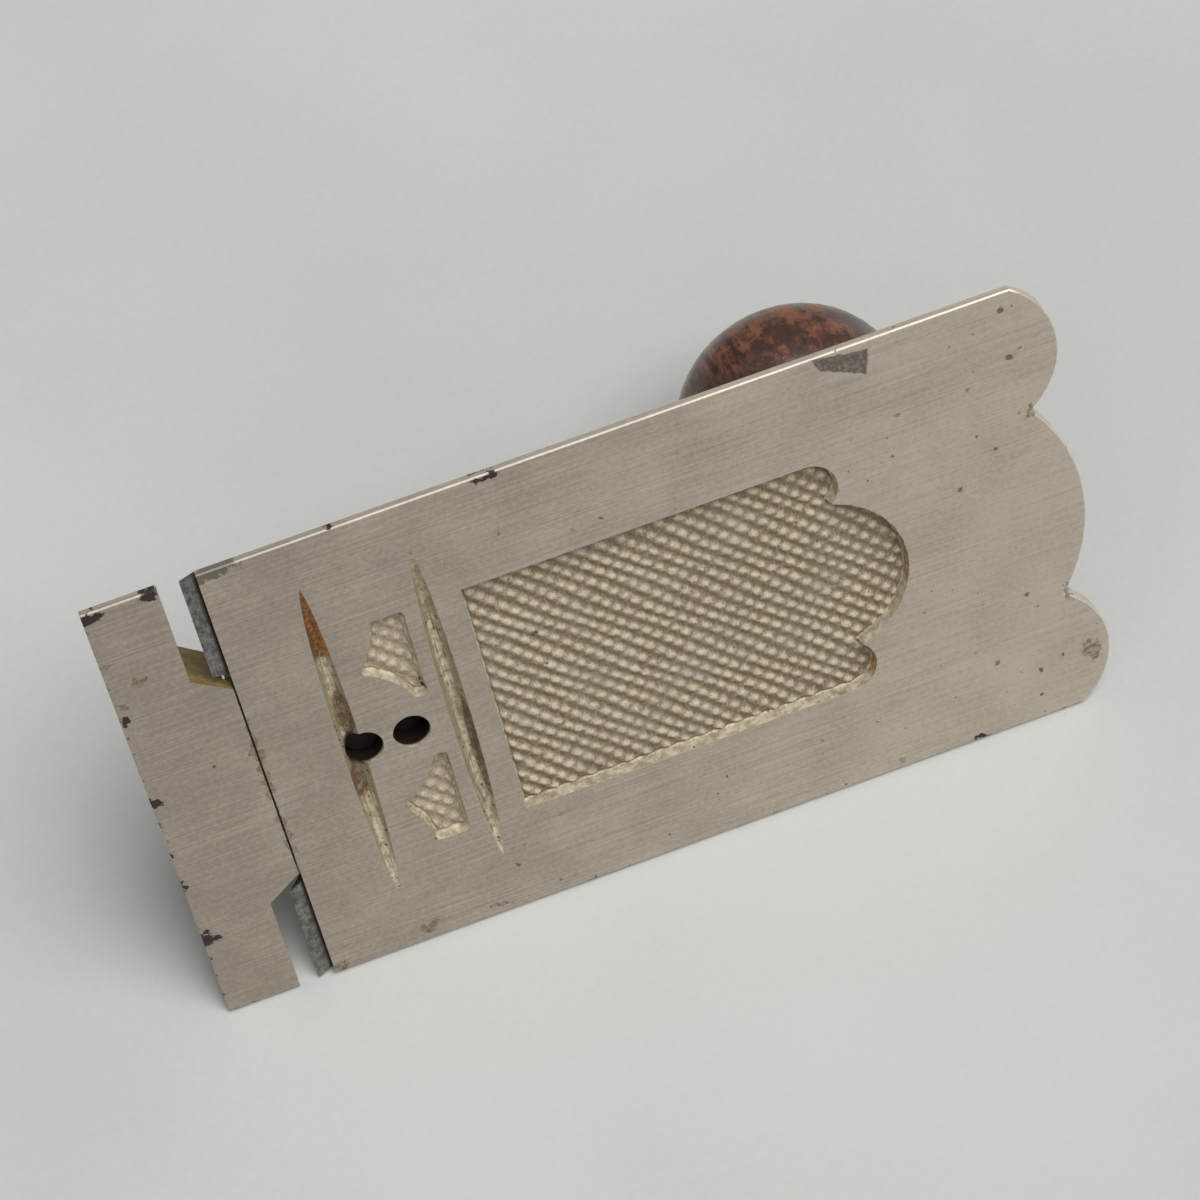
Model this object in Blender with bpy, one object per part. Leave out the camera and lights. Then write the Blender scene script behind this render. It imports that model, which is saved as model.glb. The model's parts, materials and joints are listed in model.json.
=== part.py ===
"""Side rebate plane, leaning back at rest on its lower long edge and on its knob.

Metres, +Z up.  Everything is modelled in the plane's own frame and hangs on one empty that leans it back.
In that frame x runs from toe to heel, y across the sole, and z points out of the sole, so every piece behind
the sole has a negative z.  "Depth" below means the distance behind the sole.
"""
import math

import bmesh
import bpy
from mathutils import Matrix, Vector

# Fits and fineness
FIT_GAP = 0.0003
ARC_STEPS = 12
ROUND_SEGMENTS = 32
KNOB_SEGMENTS = 48
BEAD_STEPS = 5
WAIST_STEPS = 3
BULB_STEPS = 9
GROOVE_STATIONS = 18
GROOVE_SECTION_STEPS = 8
GROOVE_END_SHARE = 0.985
SMOOTH_ANGLE = math.radians(32.0)
PLANAR_ANGLE = math.radians(0.01)
MERGE_DISTANCE = 1e-7
MITRE_LIMIT = 0.5
CORNER_STEPS = 4
CORNER_ANGLE = math.radians(30.0)
CORNER_SHARE = 0.45
HEAD_EASE_SHARE = 0.2

# Colour, roughness and metallic value of each material
GROUND_IRON = ((0.33, 0.29, 0.25), 0.45, 0.85)
CUTTER_STEEL = ((0.16, 0.16, 0.16), 0.42, 1.0)
CAP_PLATE = ((0.46, 0.44, 0.40), 0.35, 0.9)
THUMB_PLATE = ((0.45, 0.43, 0.40), 0.32, 1.0)
SCREW_STEEL = ((0.42, 0.41, 0.39), 0.40, 1.0)
KNOB_WOOD = ((0.10, 0.035, 0.02), 0.30, 0.0)
NUT_BRASS = ((0.50, 0.36, 0.15), 0.35, 1.0)

# Sole
SOLE_LENGTH = 0.1397
SOLE_WIDTH = 0.0755
SOLE_THICKNESS = 0.0024
EDGE_THICKNESS = 0.0012
EDGE_BEVEL_WIDTH = 0.0050
EDGE_EASE = 0.0002
HEEL_NOTCH_HALF = 0.0168
HEEL_NOTCH_DEPTH = 0.0055

# Nose, neck and mouths
NOSE_LENGTH = 0.0109
MOUTH_LENGTH = 0.0055
NECK_HALF_AT_NOSE = 0.0210
NECK_HALF_AT_SEAM = 0.0175
NECK_DEPTH = 0.0095
NECK_TOE_SETBACK = 0.0030
NECK_TOE_SLOPE = 0.0040
NECK_TOE_HALF = 0.0140
NECK_STEP = 0.0002
TONGUE_HALF = 0.0085
TONGUE_REACH = 0.0182
TONGUE_THICKNESS = 0.0036

# Saddle that the nose's tongue slides in
SADDLE_DEPTH = 0.0053
SADDLE_LENGTH = 0.0254
SADDLE_SETBACK = 0.0002
RAIL_WIDTH = 0.0022
RAIL_HEIGHT = 0.0026
ABUTMENT_LENGTH = 0.0030
ABUTMENT_MARGIN = 0.0004
SEAM_LAP = 0.0006

# Holes in the sole and the nose's screw
SCREW_HOLE_AT = 0.0307
EMPTY_HOLE_AT = 0.0377
HOLE_RADIUS = 0.00275
EMPTY_HOLE_DEPTH = 0.0045
NOSE_SCREW_TIP_DEPTH = 0.0030
NOSE_WASHER_RADIUS = 0.0055
WASHER_THICKNESS = 0.0010
SCREW_HEAD_RADIUS = 0.0038
SCREW_HEAD_HEIGHT = 0.0028
SCREW_SLOT_WIDTH = 0.0010
SCREW_SLOT_DEPTH = 0.0011

# Cutters and their beds
BED_ANGLE = math.radians(13.0)
SKEW_ANGLE = math.radians(17.0)
CUTTER_EDGE_LENGTH = 0.0172
CUTTER_SIDE_INSET = 0.00015
CUTTER_LENGTH = 0.0540
CUTTER_THICKNESS = 0.0016
CUTTER_BEVEL = math.radians(30.0)
CUTTER_SHOW = 0.0024
CUTTER_RECESS = 0.0003
CUTTER_TAIL_CLIP = 0.0030
CUTTER_ADVANCE = 0.0020
CUTTER_DRAW_BACK = 0.0100
BED_MARGIN = 0.0006
SEAT_START = 0.0035
SEAT_END = 0.0300
PAD_START = 0.0360
PAD_END = 0.0450
PAD_HALF = 0.0050

# Lever caps and their screws
CAP_SCREW_AT = 0.0250
CAP_SCREW_RADIUS = 0.0024
CAP_SCREW_GRIP = 0.0028
CAP_FRONT = 0.0070
CAP_TAIL = 0.0460
CAP_WIDTH = 0.0116
CAP_TAIL_BULGE = 0.0032
CAP_TIP_THICKNESS = 0.0012
CAP_TOE_LENGTH = 0.0040
CAP_ARCH = 0.0014
CAP_THICKNESS = 0.0024
CAP_SHOULDER_AT = 0.0160
CAP_EDGE_ROUND = 0.0005
KEYHOLE_TRAVEL = 0.0070

# Thumbscrews
THUMBSCREW_AT = 0.0400
THUMB_SHANK_RADIUS = 0.0025
THUMB_COLLAR_RADIUS = 0.0034
THUMB_COLLAR_HEIGHT = 0.0009
THUMB_HEAD_RADIUS = 0.0055
THUMB_HEAD_HEIGHT = 0.0042
THUMB_HEAD_CHAMFER = 0.0007
THUMB_DISH_SHARE = 0.7
KNURL_COUNT = 30
KNURL_DEPTH = 0.0004

# Large pocket in the sole and the raised panel behind it
POCKET_START = 0.0500
POCKET_HALF = 0.0206
POCKET_STRAIGHT = 0.0500
POCKET_NOTCH_SETBACK = 0.0035
POCKET_NOTCH_HALF = 0.0130
POCKET_SIDE_BULGE = 0.0031
POCKET_END_BULGE = 0.0092
POCKET_DEPTH = 0.0020
POCKET_FLOOR = 0.0026
POCKET_DRAFT = 0.0002
POCKET_FILLET = 0.0003
PANEL_MARGIN = 0.0026
PANEL_EASE = 0.0008

# Small pockets, one each side of the holes
SMALL_POCKET_LEFT = 0.0331
SMALL_POCKET_RIGHT = 0.0416
SMALL_POCKET_NEAR = 0.0054
SMALL_POCKET_FAR = 0.0206
SMALL_POCKET_SHOULDER = 0.0125
SMALL_POCKET_TOP_WIDTH = 0.0052
SMALL_POCKET_TIP_WIDTH = 0.0019
SMALL_POCKET_ARC = 0.0009
SMALL_POCKET_SIDE_ARC = 0.0008
SMALL_POCKET_CORNER = 0.0009
SMALL_POCKET_DEPTH = 0.0016
SMALL_POCKET_DRAFT = 0.00025
SMALL_POCKET_FILLET = 0.00045

# Lens-shaped cross grooves
GROOVE_PLACES = (0.0290, 0.0449)
GROOVE_OFFSET = 0.0013
GROOVE_HALF = 0.0293
GROOVE_WIDTH = 0.0031
GROOVE_DEPTH = 0.0013
GROOVE_ROUNDNESS = 1.3
GROOVE_FULLNESS = 0.58

# Knob, its boss, stud, washer and nut
KNOB_AT = 0.1088
KNOB_BOSS_DEPTH = 0.0085
KNOB_BOSS_RADIUS = 0.0118
KNOB_BOSS_FLARE = 0.0026
KNOB_BASE_RADIUS = 0.0126
KNOB_BASE_HEIGHT = 0.0042
KNOB_WAIST_RADIUS = 0.0092
KNOB_WAIST_RISE = 0.0052
KNOB_HEAD_RADIUS = 0.0179
KNOB_HEAD_DEPTH = 0.0410
KNOB_DOME_HEIGHT = 0.0125
KNOB_BULB_PULL = 0.55
STUD_RADIUS = 0.0030
STUD_GRIP = 0.0042
STUD_HEADROOM = 0.0012
NUT_RADIUS = 0.0052
NUT_HEIGHT = 0.0048
NUT_WASHER_RADIUS = 0.0058

# Values that follow from the sizes above
HALF_WIDTH = SOLE_WIDTH / 2
BODY_FRONT = NOSE_LENGTH + MOUTH_LENGTH
NECK_REAR = BODY_FRONT - FIT_GAP
SADDLE_HALF = TONGUE_HALF + FIT_GAP + RAIL_WIDTH
TONGUE_TOP = SADDLE_DEPTH + FIT_GAP + TONGUE_THICKNESS
NOSE_SCREW_RADIUS = HOLE_RADIUS - FIT_GAP
CUTTER_HALF = CUTTER_EDGE_LENGTH / 2 * math.cos(SKEW_ANGLE)
CAP_TOP = CUTTER_THICKNESS + CAP_ARCH + CAP_THICKNESS
PANEL_DEPTH = POCKET_DEPTH + POCKET_FLOOR
KNOB_BASE_DEPTH = KNOB_BOSS_DEPTH + FIT_GAP
COUNTERBORE_RADIUS = NUT_WASHER_RADIUS + FIT_GAP
OVERSHOOT = 0.0010
SIDES = {"upper": 1, "lower": -1}


# Outlines

def arc_points(start, end, bulge, steps=ARC_STEPS):
    """Points of a circular arc from start to end, its middle standing off to the left by bulge."""
    start, end = Vector(start), Vector(end)
    chord = end - start
    half = chord.length / 2
    radius = (half * half + bulge * bulge) / (2 * bulge)
    left = Vector((-chord.y, chord.x)).normalized()
    centre = (start + end) / 2 - left * (radius - bulge)
    first = start - centre
    sweep = -2 * math.copysign(math.atan2(half, abs(radius - bulge)), bulge)
    if abs(bulge) > half:
        sweep = -math.copysign(2 * math.pi, bulge) - sweep
    turned = []
    for step in range(steps + 1):
        angle = sweep * step / steps
        cosine, sine = math.cos(angle), math.sin(angle)
        turned.append((centre.x + first.x * cosine - first.y * sine,
                       centre.y + first.x * sine + first.y * cosine))
    return turned


def circle_points(radius, segments, centre=(0.0, 0.0)):
    """Corners of a regular polygon that stands for a circle."""
    points = []
    for step in range(segments):
        angle = 2 * math.pi * step / segments
        points.append((centre[0] + radius * math.cos(angle), centre[1] + radius * math.sin(angle)))
    return points


def slot_points(start, end, radius):
    """Outline of a slot along x with round ends centred at start and end."""
    far_end = arc_points((end, -radius), (end, radius), -radius)
    near_end = arc_points((start, radius), (start, -radius), -radius)
    return far_end + near_end


def grown(points, distance):
    """The outline moved outwards by distance; it runs counter-clockwise."""
    moved = []
    count = len(points)
    for index in range(count):
        before = Vector(points[index - 1])
        here = Vector(points[index])
        after = Vector(points[(index + 1) % count])
        first = (here - before).normalized()
        second = (after - here).normalized()
        normal_1 = Vector((first.y, -first.x))
        normal_2 = Vector((second.y, -second.x))
        middle = (normal_1 + normal_2).normalized()
        reach = distance / max(middle.dot(normal_1), MITRE_LIMIT)
        moved.append(tuple(here + middle * reach))
    return moved


def rounded(points, radius):
    """The outline with its sharp corners cut back and replaced by small curves."""
    smooth = []
    count = len(points)
    for index in range(count):
        here = Vector(points[index])
        back = Vector(points[index - 1]) - here
        ahead = Vector(points[(index + 1) % count]) - here
        turn = math.pi - back.angle(ahead)
        if turn < CORNER_ANGLE:
            smooth.append(tuple(here))
            continue
        cut = min(radius * math.tan(turn / 2), CORNER_SHARE * back.length, CORNER_SHARE * ahead.length)
        start = here + back.normalized() * cut
        end = here + ahead.normalized() * cut
        for step in range(CORNER_STEPS + 1):
            share = step / CORNER_STEPS
            rest = 1 - share
            smooth.append(tuple(start * rest * rest + here * 2 * rest * share + end * share * share))
    return smooth


def heel_points():
    """Three lobes of the heel, from the lower long edge to the upper one."""
    notch_x = SOLE_LENGTH - HEEL_NOTCH_DEPTH
    stops = (-HALF_WIDTH, -HEEL_NOTCH_HALF, HEEL_NOTCH_HALF, HALF_WIDTH)
    points = [(notch_x, stops[0])]
    for low, high in zip(stops, stops[1:]):
        points += arc_points((notch_x, low), (notch_x, high), -HEEL_NOTCH_DEPTH)[1:]
    return points


def pocket_points():
    """Outline of the large pocket, with a small, a large and a small lobe at its heel end."""
    side_x = POCKET_START + POCKET_STRAIGHT
    notch_x = side_x + POCKET_NOTCH_SETBACK
    low_side, low_notch = (side_x, -POCKET_HALF), (notch_x, -POCKET_NOTCH_HALF)
    high_notch, high_side = (notch_x, POCKET_NOTCH_HALF), (side_x, POCKET_HALF)
    points = arc_points(low_side, low_notch, -POCKET_SIDE_BULGE)
    points += arc_points(low_notch, high_notch, -POCKET_END_BULGE)[1:]
    points += arc_points(high_notch, high_side, -POCKET_SIDE_BULGE)[1:]
    return points + [(POCKET_START, POCKET_HALF), (POCKET_START, -POCKET_HALF)]


def panel_points():
    """Outline of the raised panel behind the large pocket; its round end covers the three lobes."""
    side_x = POCKET_START + POCKET_STRAIGHT
    half = POCKET_HALF + PANEL_MARGIN
    bulge = POCKET_NOTCH_SETBACK + POCKET_END_BULGE + PANEL_MARGIN
    start = POCKET_START - PANEL_MARGIN
    return arc_points((side_x, -half), (side_x, half), -bulge) + [(start, half), (start, -half)]


def small_pocket_points(side):
    """Outline of one small pocket, hollowed towards the holes and towards the toe, with rounded corners."""
    shoulder = (SMALL_POCKET_LEFT, SMALL_POCKET_SHOULDER)
    tip = (SMALL_POCKET_RIGHT - SMALL_POCKET_TIP_WIDTH, SMALL_POCKET_NEAR)
    top = (SMALL_POCKET_RIGHT - SMALL_POCKET_TOP_WIDTH, SMALL_POCKET_FAR)
    points = arc_points(shoulder, tip, SMALL_POCKET_ARC, CORNER_STEPS)
    points.append((SMALL_POCKET_RIGHT, SMALL_POCKET_NEAR))
    points.append((SMALL_POCKET_RIGHT, SMALL_POCKET_FAR))
    points += arc_points(top, shoulder, SMALL_POCKET_SIDE_ARC, CORNER_STEPS)[:-1]
    points = rounded(points, SMALL_POCKET_CORNER)
    if side > 0:
        return points
    return [(x, -y) for x, y in reversed(points)]


def knob_outer_profile():
    """The knob's turned outline as (radius, depth), from its base to the rim of its counterbore."""
    bead = KNOB_BASE_HEIGHT / 2
    bead_radius = KNOB_BASE_RADIUS - bead
    waist_depth = KNOB_BASE_DEPTH + KNOB_BASE_HEIGHT + KNOB_WAIST_RISE
    points = []
    for step in range(BEAD_STEPS + 1):
        angle = math.pi * step / BEAD_STEPS
        points.append((bead_radius + bead * math.sin(angle),
                       KNOB_BASE_DEPTH + bead - bead * math.cos(angle)))
    for step in range(1, WAIST_STEPS + 1):
        share = step / WAIST_STEPS
        blend = (1 + math.cos(math.pi * share)) / 2
        points.append((KNOB_WAIST_RADIUS + (bead_radius - KNOB_WAIST_RADIUS) * blend,
                       KNOB_BASE_DEPTH + KNOB_BASE_HEIGHT + KNOB_WAIST_RISE * share))
    pull = (KNOB_HEAD_DEPTH - waist_depth) * KNOB_BULB_PULL
    for step in range(1, BULB_STEPS + 1):
        share = step / BULB_STEPS
        rest = 1 - share
        weights = (rest ** 3, 3 * rest * rest * share, 3 * rest * share * share, share ** 3)
        radii = (KNOB_WAIST_RADIUS, KNOB_WAIST_RADIUS, KNOB_HEAD_RADIUS, KNOB_HEAD_RADIUS)
        depths = (waist_depth, waist_depth + pull, KNOB_HEAD_DEPTH - pull, KNOB_HEAD_DEPTH)
        points.append((sum(w * r for w, r in zip(weights, radii)),
                       sum(w * d for w, d in zip(weights, depths))))
    last_angle = math.acos(COUNTERBORE_RADIUS / KNOB_HEAD_RADIUS)
    for step in range(1, BULB_STEPS + 1):
        angle = last_angle * step / BULB_STEPS
        points.append((KNOB_HEAD_RADIUS * math.cos(angle),
                       KNOB_HEAD_DEPTH + KNOB_DOME_HEIGHT * math.sin(angle)))
    return points


# The knob's outline also sets how far the plane leans back
KNOB_OUTLINE = knob_outer_profile()
KNOB_RIM_DEPTH = KNOB_OUTLINE[-1][1]
NUT_SEAT_DEPTH = KNOB_RIM_DEPTH - NUT_HEIGHT - WASHER_THICKNESS - FIT_GAP
LEAN = math.atan(min((HALF_WIDTH - radius) / (depth - EDGE_THICKNESS) for radius, depth in KNOB_OUTLINE))


# Mesh building

def add_faces(bm, rings, closed_ends=True):
    """Skin between rings of points that have equal counts."""
    loops = [[bm.verts.new(point) for point in ring] for ring in rings]
    for lower, upper in zip(loops, loops[1:]):
        for index in range(len(lower)):
            after = (index + 1) % len(lower)
            bm.faces.new((lower[index], lower[after], upper[after], upper[index]))
    if closed_ends:
        bm.faces.new(loops[0])
        bm.faces.new(loops[-1])


def moved_ring(outline, z, matrix):
    """A plan outline as points at height z, put in place by matrix."""
    return [matrix @ Vector((x, y, z)) for x, y in outline]


def add_prism(bm, outline, start, end, matrix=Matrix.Identity(4), end_outline=None):
    """A solid between a plan outline at one height and the same or another outline at a second height."""
    add_faces(bm, [moved_ring(outline, start, matrix), moved_ring(end_outline or outline, end, matrix)])


def stepped_rings(outline, steps):
    """Rings of an outline that grows or shrinks on its way back; each step is a growth and a height."""
    return [moved_ring(grown(outline, growth), z, Matrix.Identity(4)) for growth, z in steps]


def add_plate(bm, face, outline):
    """A stretch of the sole: its ground face, then the full outline from the eased edge to the back."""
    places = ((face, 0.0), (outline, -EDGE_EASE), (outline, -SOLE_THICKNESS))
    add_faces(bm, [moved_ring(points, z, Matrix.Identity(4)) for points, z in places])


def add_turned(bm, profile, segments, matrix=Matrix.Identity(4)):
    """A solid turned about z from (radius, z) points; a profile off the axis closes on itself."""
    verts = [bm.verts.new((radius, 0.0, z)) for radius, z in profile]
    edges = [bm.edges.new(pair) for pair in zip(verts, verts[1:])]
    if profile[0][0] > 0.0:
        edges.append(bm.edges.new((verts[-1], verts[0])))
    bmesh.ops.spin(bm, geom=verts + edges, axis=(0, 0, 1), cent=(0, 0, 0), angle=2 * math.pi,
                   steps=segments, use_merge=True)
    bmesh.ops.remove_doubles(bm, verts=list(bm.verts), dist=MERGE_DISTANCE)
    bmesh.ops.transform(bm, matrix=matrix, verts=list(bm.verts))


def make_object(name, bm, parent, location=(0.0, 0.0, 0.0)):
    """Turn a bmesh into an object whose origin sits at location in its parent's frame."""
    bmesh.ops.connect_verts_nonplanar(bm, angle_limit=PLANAR_ANGLE, faces=list(bm.faces))
    bmesh.ops.recalc_face_normals(bm, faces=list(bm.faces))
    mesh = bpy.data.meshes.new(name)
    bm.to_mesh(mesh)
    bm.free()
    obj = bpy.data.objects.new(name, mesh)
    bpy.context.scene.collection.objects.link(obj)
    obj.parent = parent
    obj.location = location
    return obj


def settle(obj):
    """Apply an object's modifiers, remove their helpers and mark the edges that the cuts left sharp."""
    graph = bpy.context.evaluated_depsgraph_get()
    mesh = bpy.data.meshes.new_from_object(obj.evaluated_get(graph))
    helpers = [modifier.object for modifier in obj.modifiers if modifier.type == 'BOOLEAN']
    obj.modifiers.clear()
    for helper in helpers:
        bpy.data.objects.remove(helper, do_unlink=True)
    mesh.name = obj.name
    mesh.shade_smooth()
    mesh.set_sharp_from_angle(angle=SMOOTH_ANGLE)
    obj.data = mesh


def finish(obj, look):
    """Settle a sub-part and give it its own Principled material."""
    settle(obj)
    colour, roughness, metallic = look
    material = bpy.data.materials.new(obj.name)
    material.use_nodes = True
    shader = material.node_tree.nodes["Principled BSDF"]
    shader.inputs["Base Color"].default_value = (*colour, 1.0)
    shader.inputs["Roughness"].default_value = roughness
    shader.inputs["Metallic"].default_value = metallic
    obj.data.materials.append(material)
    return obj


def combine(obj, operation, helper):
    """Add a Boolean with a helper object, which is hidden."""
    helper.hide_render = True
    helper.display_type = 'WIRE'
    modifier = obj.modifiers.new(helper.name, 'BOOLEAN')
    modifier.operation = operation
    modifier.solver = 'EXACT'
    modifier.object = helper


def make_empty(name, parent, matrix):
    """An empty that carries the pieces of one frame."""
    empty = bpy.data.objects.new(name, None)
    bpy.context.scene.collection.objects.link(empty)
    empty.parent = parent
    empty.matrix_local = matrix
    return empty


# Frames

def lean_matrix():
    """Stands the plane on its lower edge and knob, over the origin, with the sole facing -Y and up."""
    front = -(HALF_WIDTH - EDGE_EASE) * math.sin(LEAN)
    back = max(radius * math.sin(LEAN) + depth * math.cos(LEAN) for radius, depth in KNOB_OUTLINE)
    height = HALF_WIDTH * math.cos(LEAN) + EDGE_THICKNESS * math.sin(LEAN)
    place = Matrix.Translation((-SOLE_LENGTH / 2, -(front + back) / 2, height))
    return place @ Matrix.Rotation(math.pi / 2 - LEAN, 4, 'X')


def bed_matrix(side):
    """Frame of one cutter bed: x up along the cutter from its edge, z away from the bed."""
    slope = Vector((math.cos(BED_ANGLE), 0.0, -math.sin(BED_ANGLE)))
    across = Vector((0.0, side, 0.0))
    x_axis = slope * math.cos(SKEW_ANGLE) - across * math.sin(SKEW_ANGLE)
    z_axis = Vector((-math.sin(BED_ANGLE), 0.0, -math.cos(BED_ANGLE)))
    y_axis = z_axis.cross(x_axis)
    matrix = Matrix((x_axis, y_axis, z_axis)).transposed().to_4x4()
    edge_middle = HALF_WIDTH - CUTTER_SIDE_INSET - CUTTER_EDGE_LENGTH / 2
    matrix.translation = (BODY_FRONT - CUTTER_SHOW, side * edge_middle, -CUTTER_RECESS)
    return matrix


def depth_frame(x, y):
    """Frame at a point of the sole whose z runs back into the plane."""
    return Matrix.Translation((x, y, 0.0)) @ Matrix.Rotation(math.pi, 4, 'X')


# Shared cuts

def edge_bevels(name, start, end, parent):
    """Two wedges that thin the back of the sole towards its long edges."""
    bm = bmesh.new()
    slope = (SOLE_THICKNESS - EDGE_THICKNESS) / EDGE_BEVEL_WIDTH
    for side in SIDES.values():
        outer = HALF_WIDTH + OVERSHOOT
        inner = HALF_WIDTH - EDGE_BEVEL_WIDTH - OVERSHOOT
        edge_z = -EDGE_THICKNESS + slope * OVERSHOOT
        inner_z = -SOLE_THICKNESS - slope * OVERSHOOT
        section = [(outer, edge_z), (inner, inner_z), (outer, inner_z)]
        rings = [[(x, side * y, z) for y, z in section] for x in (start, end)]
        add_faces(bm, rings)
    return make_object(name, bm, parent)


def screw_slot(name, radius, top, parent, location):
    """A driver slot across a screw head."""
    bm = bmesh.new()
    half = SCREW_SLOT_WIDTH / 2
    reach = radius + OVERSHOOT
    outline = [(-reach, -half), (reach, -half), (reach, half), (-reach, half)]
    add_prism(bm, outline, top - SCREW_SLOT_DEPTH, top + OVERSHOOT)
    return make_object(name, bm, parent, location)


# Body

def seat_outline(matrix, start, end, half):
    """Plan of a bed support, straight below a stretch of the cutter."""
    corners = [(start, -half), (end, -half), (end, half), (start, half)]
    placed = [matrix @ Vector((x, y, 0.0)) for x, y in corners]
    return [(corner.x, corner.y) for corner in placed]


def body_additions(plane):
    """Raised forms on the back: panel, knob boss, saddle, the ledged wall at the seam, and bed supports."""
    inside = -SOLE_THICKNESS / 2
    bm = bmesh.new()
    panel_steps = ((0.0, inside), (0.0, -PANEL_DEPTH + PANEL_EASE), (-PANEL_EASE, -PANEL_DEPTH))
    add_faces(bm, stepped_rings(panel_points(), panel_steps))
    panel = make_object("add_panel", bm, plane)

    bm = bmesh.new()
    boss_foot = SOLE_THICKNESS + FIT_GAP
    boss = [(0.0, boss_foot), (KNOB_BOSS_RADIUS + KNOB_BOSS_FLARE, boss_foot),
            (KNOB_BOSS_RADIUS, KNOB_BOSS_DEPTH), (0.0, KNOB_BOSS_DEPTH)]
    add_turned(bm, boss, ROUND_SEGMENTS, depth_frame(KNOB_AT, 0.0))
    knob_boss = make_object("add_knob_boss", bm, plane)

    bm = bmesh.new()
    rail_inner = SADDLE_HALF - RAIL_WIDTH
    rail_top = -SADDLE_DEPTH - RAIL_HEIGHT
    section = [(-SADDLE_HALF, inside), (-SADDLE_HALF, rail_top), (-rail_inner, rail_top),
               (-rail_inner, -SADDLE_DEPTH), (rail_inner, -SADDLE_DEPTH), (rail_inner, rail_top),
               (SADDLE_HALF, rail_top), (SADDLE_HALF, inside)]
    front = BODY_FRONT + SADDLE_SETBACK
    add_faces(bm, [[(x, y, z) for y, z in section] for x in (front, front + SADDLE_LENGTH)])
    saddle = make_object("add_saddle", bm, plane)

    bm = bmesh.new()
    half = NECK_HALF_AT_SEAM + ABUTMENT_MARGIN
    rear = front + ABUTMENT_LENGTH
    add_prism(bm, [(front, -half), (rear, -half), (rear, half), (front, half)], inside, -SADDLE_DEPTH)
    abutment = make_object("add_abutment", bm, plane)

    bm = bmesh.new()
    lap = NECK_REAR - SEAM_LAP
    root = (front + rear) / 2
    add_prism(bm, [(lap, -half), (root, -half), (root, half), (lap, half)], -SOLE_THICKNESS - FIT_GAP,
              -SADDLE_DEPTH)
    ledge = make_object("add_ledge", bm, plane)

    bm = bmesh.new()
    stretches = ((SEAT_START, SEAT_END, CUTTER_HALF - BED_MARGIN), (PAD_START, PAD_END, PAD_HALF))
    for side in SIDES.values():
        matrix = bed_matrix(side)
        for start, end, half in stretches:
            bed_top = (matrix @ Vector((end, 0.0, 0.0))).z
            add_prism(bm, seat_outline(matrix, start, end, half), inside, bed_top - OVERSHOOT)
    supports = make_object("add_bed_supports", bm, plane)
    return panel, knob_boss, saddle, abutment, ledge, supports


def groove_rings(place):
    """Rings of a lens-shaped V groove: its width and depth fade to nothing at both ends."""
    rings = []
    for station in range(GROOVE_STATIONS + 1):
        share = GROOVE_END_SHARE * (2 * station / GROOVE_STATIONS - 1)
        fade = 1 - share * share
        y = GROOVE_OFFSET + GROOVE_HALF * share
        half = GROOVE_WIDTH / 2 * fade ** GROOVE_FULLNESS
        ring = [(place - half, y, OVERSHOOT)]
        for step in range(GROOVE_SECTION_STEPS + 1):
            across = 2 * step / GROOVE_SECTION_STEPS - 1
            depth = GROOVE_DEPTH * fade * (1 - abs(across) ** GROOVE_ROUNDNESS)
            ring.append((place + half * across, y, -depth))
        ring.append((place + half, y, OVERSHOOT))
        rings.append(ring)
    return rings


def body_cuts(plane):
    """Everything taken out of the casting: cutter channels, edge bevels, pockets, grooves and holes."""
    bm = bmesh.new()
    half = CUTTER_HALF + BED_MARGIN
    channel = [(-CUTTER_LENGTH / 2, -half), (CUTTER_LENGTH, -half), (CUTTER_LENGTH, half),
               (-CUTTER_LENGTH / 2, half)]
    for side in SIDES.values():
        add_prism(bm, channel, -FIT_GAP, 2 * CUTTER_LENGTH, bed_matrix(side))
    channels = make_object("cut_channels", bm, plane)

    bevels = edge_bevels("cut_body_bevels", BODY_FRONT - OVERSHOOT, SOLE_LENGTH + OVERSHOOT, plane)

    bm = bmesh.new()
    pockets = [(pocket_points(), POCKET_DEPTH, POCKET_DRAFT, POCKET_FILLET)]
    for side in SIDES.values():
        pockets.append((small_pocket_points(side), SMALL_POCKET_DEPTH, SMALL_POCKET_DRAFT,
                        SMALL_POCKET_FILLET))
    for outline, depth, draft, fillet in pockets:
        steps = ((draft * OVERSHOOT / depth, OVERSHOOT), (-draft, -depth + fillet),
                 (-draft - fillet, -depth))
        add_faces(bm, stepped_rings(outline, steps))
    pocket_cut = make_object("cut_pockets", bm, plane)

    bm = bmesh.new()
    for place in GROOVE_PLACES:
        add_faces(bm, groove_rings(place))
    grooves = make_object("cut_grooves", bm, plane)

    bm = bmesh.new()
    through = SADDLE_DEPTH + RAIL_HEIGHT + OVERSHOOT
    for place, depth in ((SCREW_HOLE_AT, through), (EMPTY_HOLE_AT, EMPTY_HOLE_DEPTH)):
        add_prism(bm, circle_points(HOLE_RADIUS, ROUND_SEGMENTS, (place, 0.0)), OVERSHOOT, -depth)
    add_prism(bm, circle_points(STUD_RADIUS + FIT_GAP, ROUND_SEGMENTS, (KNOB_AT, 0.0)),
              -KNOB_BOSS_DEPTH + STUD_GRIP, -KNOB_BOSS_DEPTH - OVERSHOOT)
    for side in SIDES.values():
        outline = circle_points(CAP_SCREW_RADIUS + FIT_GAP, ROUND_SEGMENTS, (CAP_SCREW_AT, 0.0))
        add_prism(bm, outline, -CAP_SCREW_GRIP - FIT_GAP, OVERSHOOT, bed_matrix(side))
    holes = make_object("cut_holes", bm, plane)
    return channels, bevels, pocket_cut, grooves, holes


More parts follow.
